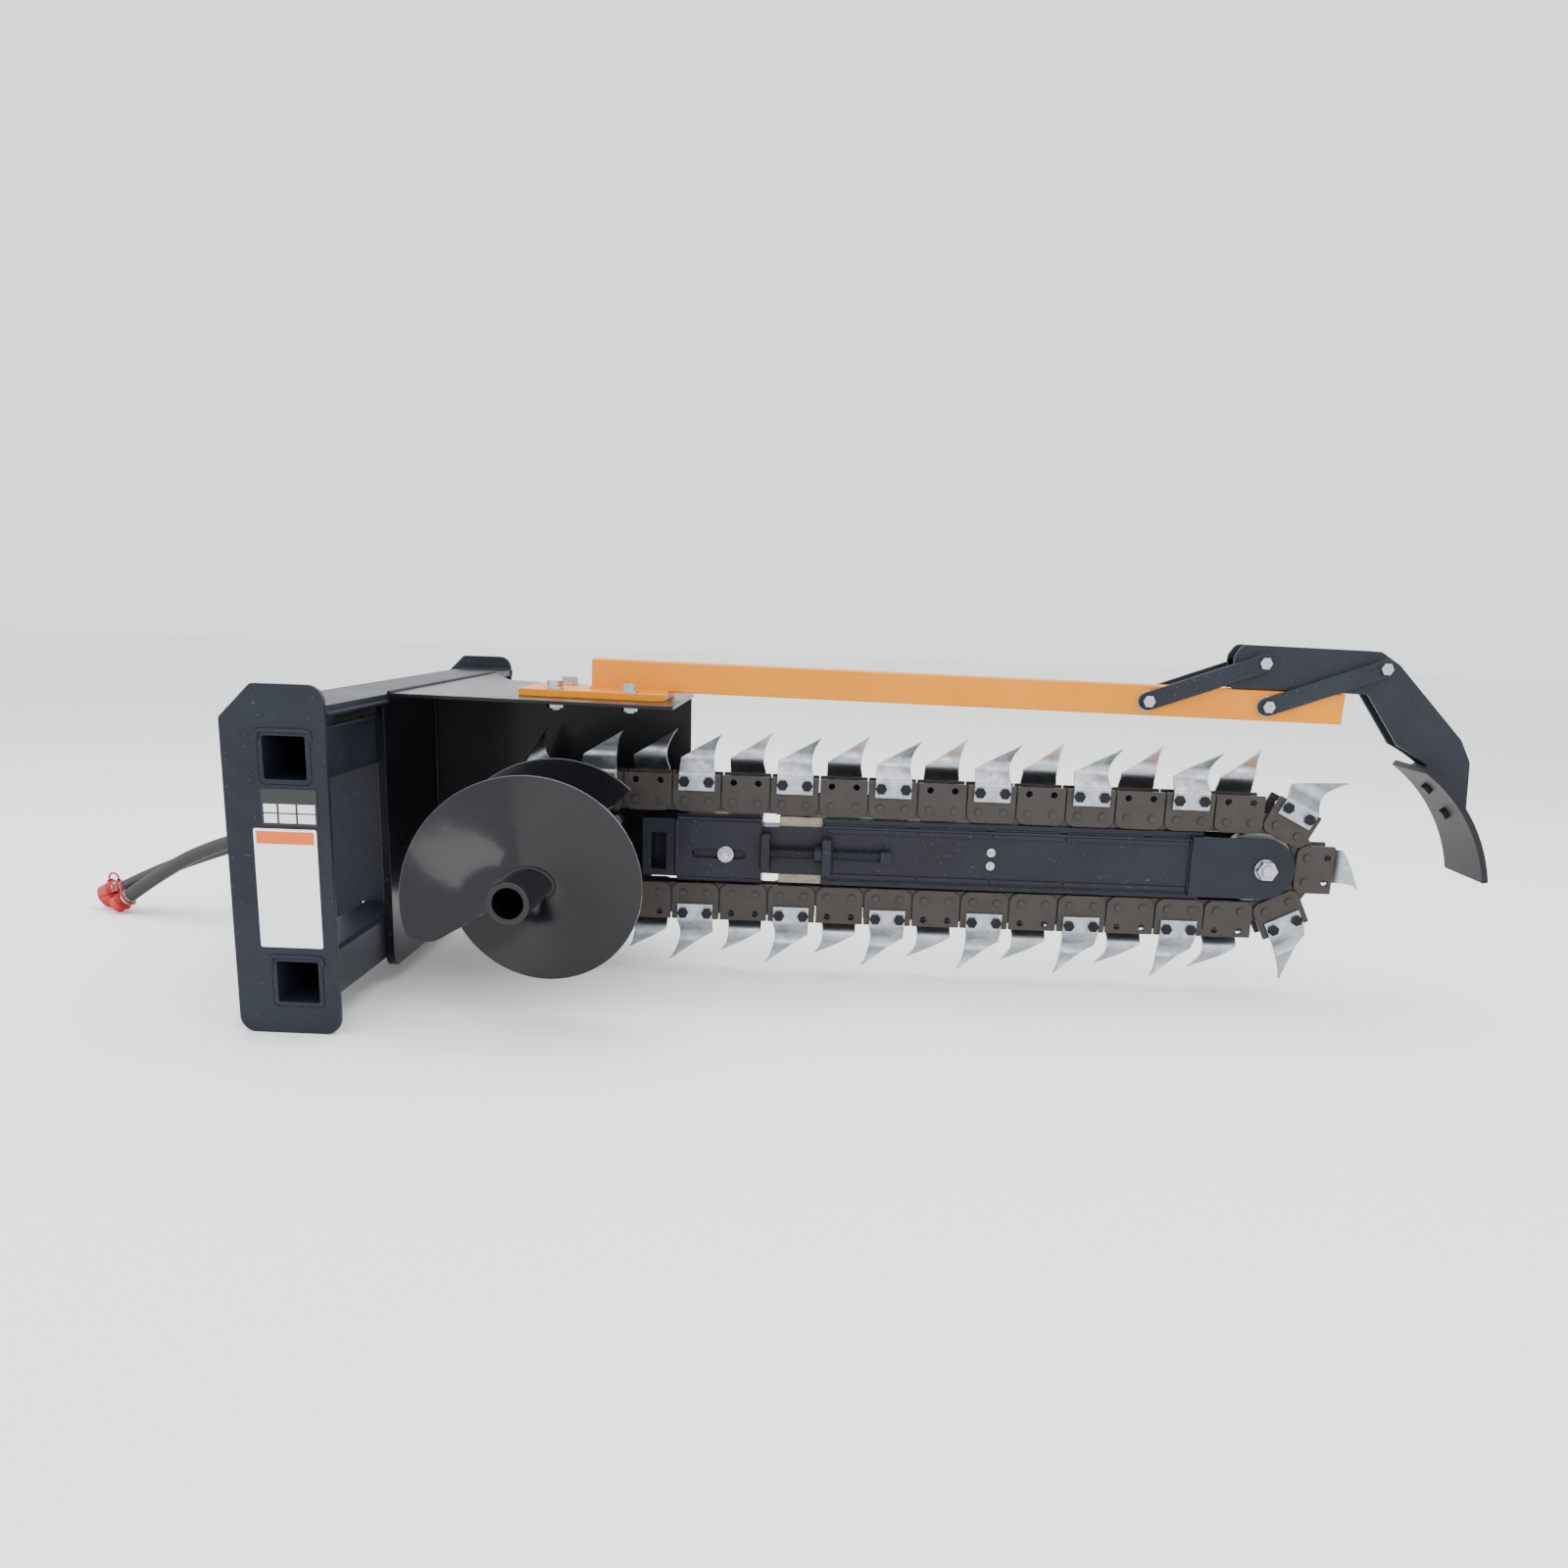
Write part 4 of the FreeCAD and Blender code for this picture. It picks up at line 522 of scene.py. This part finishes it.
auger_coat = bpy.data.materials.new("deep_gloss_black_enamel")
auger_coat.use_nodes = True
tree = auger_coat.node_tree
tree.nodes.clear()
spot = add(tree, "ShaderNodeTexCoord")
cloud = add(tree, "ShaderNodeTexNoise", None, {"Scale": 5.0, "Detail": 5.0},
            {"Vector": spot.outputs["Object"]})
peel = add(tree, "ShaderNodeTexNoise", None, {"Scale": 450.0, "Detail": 2.0},
           {"Vector": spot.outputs["Object"]})
wave_skin = add(tree, "ShaderNodeTexNoise", None, {"Scale": 14.0, "Detail": 3.0},
                {"Vector": spot.outputs["Object"]})
# The rim is where the distance from the shaft's line comes near the flight's radius.
centred = add(tree, "ShaderNodeVectorMath", {"operation": "SUBTRACT"}, {1: (0.4208, 0.0, 0.2252)},
              {0: spot.outputs["Object"]})
flat = add(tree, "ShaderNodeVectorMath", {"operation": "MULTIPLY"}, {1: (1.0, 0.0, 1.0)},
           {0: centred.outputs[0]})
radius = add(tree, "ShaderNodeVectorMath", {"operation": "LENGTH"}, None, {0: flat.outputs[0]})
rim = add(tree, "ShaderNodeMapRange", None, {"From Min": 0.1638, "From Max": 0.1648},
          {"Value": radius.outputs["Value"]})
worn = add(tree, "ShaderNodeMath", {"operation": "MULTIPLY"}, None,
           {0: rim.outputs["Result"], 1: cloud.outputs["Fac"]})
black = add(tree, "ShaderNodeMix", {"data_type": "RGBA"},
            {6: linear("0b0c0f"), 7: linear("15161a")}, {0: cloud.outputs["Fac"]})
rimmed = add(tree, "ShaderNodeMix", {"data_type": "RGBA"}, {7: linear("6d7075")},
             {0: worn.outputs[0], 6: black.outputs[2]})
ripple_height = add(tree, "ShaderNodeMath", {"operation": "MULTIPLY_ADD"}, {1: 0.06},
                    {0: peel.outputs["Fac"], 2: wave_skin.outputs["Fac"]})
bump = add(tree, "ShaderNodeBump", None, {"Strength": 0.25, "Distance": 0.004},
           {"Height": ripple_height.outputs[0]})
rough = add(tree, "ShaderNodeMapRange", None, {"To Min": 0.10, "To Max": 0.24},
            {"Value": cloud.outputs["Fac"]})
enamel = add(tree, "ShaderNodeBsdfPrincipled", None,
             {"Coat Weight": 0.12, "Coat Roughness": 0.06, "Specular IOR Level": 0.3},
             {"Base Color": rimmed.outputs[2], "Roughness": rough.outputs["Result"],
              "Normal": bump.outputs["Normal"]})
add(tree, "ShaderNodeOutputMaterial", links={"Surface": enamel.outputs["BSDF"]})
broken_edges("auger_flight", 0.0010, auger_coat)
broken_edges("auger_tube", 0.0012, auger_coat)
broken_edges("auger_lock_bolt", 0.0008, zinc_plate)

auger_axis_x, auger_axis_z = 0.4208, 0.2252
auger_pitch, auger_start_angle = 0.228, 210
flight_start_y, flight_end_y = -0.622, -0.289


def flight_root(y, reach):
    """A point where the flight meets its tube, at a place along the shaft."""
    turned = math.radians(auger_start_angle) - 2 * math.pi * (y - flight_start_y) / auger_pitch
    return (auger_axis_x + reach * math.cos(turned), y, auger_axis_z + reach * math.sin(turned))


steps = 90
root_line = [flight_root(flight_start_y + (flight_end_y - flight_start_y) * i / steps, 0.0305)
             for i in range(steps + 1)]
weld_seams("auger_weld", "head_drive", auger_coat, 0.0040, [(root_line, False)])

# ---- Digging chain ---------------------------------------------------------
# Heat-treated side plates, brown-black and oily as they leave the furnace,
# joined by riveted pins, in a closed loop round the sprocket and the nose.

chain_steel = bpy.data.materials.new("oil_blackened_steel")
chain_steel.use_nodes = True
tree = chain_steel.node_tree
tree.nodes.clear()
spot = add(tree, "ShaderNodeTexCoord")
scale_marks = add(tree, "ShaderNodeTexNoise", None,
                  {"Scale": 30.0, "Detail": 6.0, "Roughness": 0.7},
                  {"Vector": spot.outputs["Object"]})
grit = add(tree, "ShaderNodeTexNoise", None, {"Scale": 420.0, "Detail": 3.0},
           {"Vector": spot.outputs["Object"]})
brown = add(tree, "ShaderNodeMix", {"data_type": "RGBA"},
            {6: linear("25211f"), 7: linear("403b37")}, {0: scale_marks.outputs["Fac"]})
rough = add(tree, "ShaderNodeMapRange", None, {"To Min": 0.34, "To Max": 0.56},
            {"Value": scale_marks.outputs["Fac"]})
bump = add(tree, "ShaderNodeBump", None, {"Strength": 0.25, "Distance": 0.0003},
           {"Height": grit.outputs["Fac"]})
oiled = add(tree, "ShaderNodeBsdfPrincipled", None, {"Metallic": 0.45},
            {"Base Color": brown.outputs[2], "Roughness": rough.outputs["Result"],
             "Normal": bump.outputs["Normal"]})
add(tree, "ShaderNodeOutputMaterial", links={"Surface": oiled.outputs["BSDF"]})
for node, width in (("chain_outer_plates", 0.0007), ("chain_inner_plates", 0.0004),
                    ("chain_pins", 0.0007), ("chain_rollers", 0.0005)):
    broken_edges(node, width, chain_steel, segments=1 if node == "chain_inner_plates" else 2)

# ---- Cup teeth -------------------------------------------------------------
# Pressed from zinc-plated plate and bolted to the outer plates, on the near and
# the far side of the chain by turns, with blackened hex bolts.

tooth_zinc = plated_steel("mottled_zinc_plate", "c4c9ce", "747a7f", 0.38, 0.010)
broken_edges("cup_teeth", 0.0008, tooth_zinc)
black_oxide = plated_steel("black_oxide_bolt", "34353a", "1c1d20", 0.45, 0.003)
broken_edges("tooth_bolts", 0.0007, black_oxide)

# ---- Boom ------------------------------------------------------------------
# A welded box beam on a square slide tube, clamped in its sleeve by a bolt
# through a slot. A threaded screw pushes it out to tighten the chain.

boom_coat = powder_coat("boom_powder_coat", "191c27", "11131b", 0.36, gloss=0.06)
for node in ("boom_base", "boom_sleeve", "tension_stop_block", "boom_beam", "wear_rails",
             "boom_guide_strips", "tension_bracket", "nose_yokes"):
    broken_edges(node, 0.0010, boom_coat)
bare_steel = plated_steel("unpainted_rolled_steel", "a39b8d", "7b7366", 0.55, 0.006)
broken_edges("slide_strips", 0.0008, bare_steel)
for node in ("boom_slide_tube", "tension_lock_nut"):
    broken_edges(node, 0.0008, boom_coat)
for node in ("clamp_bolt", "grease_plugs", "nose_axle"):
    broken_edges(node, 0.0007, zinc_plate)
for node in ("idler_roller", "idler_bearings"):
    broken_edges(node, 0.0010, turned_steel)

boom_near = -0.144
sleeve_near = -0.148
sleeve_seams = [
    ([(0.600, sleeve_near + 0.0005, 0.2770), (0.743, sleeve_near + 0.0005, 0.2770)], False),
    ([(0.600, sleeve_near + 0.0005, 0.1730), (0.743, sleeve_near + 0.0005, 0.1730)], False),
    ([(0.598, sleeve_near + 0.002, 0.176), (0.598, sleeve_near + 0.002, 0.274)], False),
    ([(0.745, sleeve_near, 0.194), (0.745, sleeve_near, 0.254)], False),
]
weld_seams("sleeve_welds", "frame", boom_coat, 0.0034, sleeve_seams)
boom_seams = [
    ([(0.866, boom_near, 0.194), (0.866, boom_near, 0.250)], False),
    ([(1.478, boom_near - 0.001, 0.180), (1.478, boom_near - 0.001, 0.270)], False),
]
rail_y = boom_near + 0.0065
rail_runs = ((0.852, 0.990), (1.016, 1.128), (1.142, 1.252), (1.268, 1.398), (1.410, 1.476))
for start, end in rail_runs:
    for level in (0.1775, 0.2725):
        boom_seams.append(([(start, rail_y, level), (end, rail_y, level)], False))
weld_seams("boom_welds", "boom", boom_coat, 0.0026, boom_seams)

# The screw is cut with a coarse thread along its shank and has a square head.
screw_start, screw_end = 0.7604, 0.948
screw_y, screw_z = -0.162, 0.224
crest, root = 0.0080, 0.0069
lead = 0.0032
rings = []
around = 20
per_turn = 6
count = int((screw_end - screw_start) / lead * per_turn)
for i in range(count + 1):
    x = screw_start + (screw_end - screw_start) * i / count
    ring = []
    for j in range(around):
        angle = 2 * math.pi * j / around
        ridge = abs(2 * ((x / lead - j / around) % 1.0) - 1)
        reach = root + (crest - root) * ridge
        ring.append((x, screw_y + reach * math.cos(angle), screw_z + reach * math.sin(angle)))
    rings.append(ring)
points = [point for ring in rings for point in ring]
faces = []
for i in range(count):
    for j in range(around):
        a, b = i * around + j, i * around + (j + 1) % around
        faces.append((a, b, b + around, a + around))
faces.append(tuple(reversed(range(around))))
faces.append(tuple(range(count * around, (count + 1) * around)))
half = 0.0095
chamfer = 0.0015
head_rings = []
for x, inset in ((0.948, chamfer), (0.948 + chamfer, 0), (0.969 - chamfer, 0), (0.969, chamfer)):
    h = half - inset
    corners = ((-h, -h), (h, -h), (h, h), (-h, h))
    head_rings.append([(x, screw_y + dy, screw_z + dz) for dy, dz in corners])
base = len(points)
points += [point for ring in head_rings for point in ring]
for i in range(3):
    for j in range(4):
        a, b = base + i * 4 + j, base + i * 4 + (j + 1) % 4
        faces.append((a, b, b + 4, a + 4))
faces.append((base + 3, base + 2, base + 1, base))
faces.append((base + 12, base + 13, base + 14, base + 15))
screw_mesh = bpy.data.meshes.new("tension_screw_thread")
screw_mesh.from_pydata(points, [], faces)
screw_mesh.materials.append(boom_coat)
sorted_shell = bmesh.new()
sorted_shell.from_mesh(screw_mesh)
bmesh.ops.recalc_face_normals(sorted_shell, faces=sorted_shell.faces)
sorted_shell.to_mesh(screw_mesh)
sorted_shell.free()
screw = bpy.data.objects.new("tension_screw_thread", screw_mesh)
bpy.context.scene.collection.objects.link(screw)
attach(screw, "tension_screw")
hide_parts("tension_screw")

# ---- Crumber bar -----------------------------------------------------------
# Square tube welded to a bolted flange on the deck, sprayed safety orange over
# primer, a smooth semi-gloss coat.

orange_coat = powder_coat("safety_orange_enamel", "d98500", "cf7b00", 0.36, gloss=0.04)
for node in ("crumber_flange", "crumber_bar"):
    broken_edges(node, 0.0012, orange_coat)
for node in ("flange_bolts", "bar_pivot_bolts", "rear_arm_bolt", "front_arm_bolt"):
    broken_edges(node, 0.0007, zinc_plate)
slope = math.tan(math.radians(0.8))


def on_deck(x, y, rise):
    """A point above the sloping deck, in metres."""
    return (0.1423 + x + rise * slope, y, 0.481 - x * slope + rise)


bar_seams = [([on_deck(0.310, y, 0.012), on_deck(0.438, y, 0.012)], False)
             for y in (-0.1372, -0.0868)]
bar_seams.append(([on_deck(0.308, -0.134, 0.012), on_deck(0.308, -0.090, 0.012)], False))
weld_seams("bar_welds", "frame", orange_coat, 0.0034, bar_seams)

# ---- Crumber linkage and shoe ----------------------------------------------
# Two pairs of flat links hold the fabricated arm level above the bar. The
# curved shoe at its end is bolted on and follows behind the chain.

arm_coat = powder_coat("slate_powder_coat", "22262f", "191c24", 0.45)
for node in ("rear_links", "front_links"):
    broken_edges(node, 0.0012, arm_coat, flatten=0)
broken_edges("crumber_arm", 0.0012, arm_coat)
shoe_coat = powder_coat("worn_shoe_coat", "1f1f23", "151519", 0.5)
for node in ("crumber_shoe", "shoe_bolts"):
    broken_edges(node, 0.0012, shoe_coat)
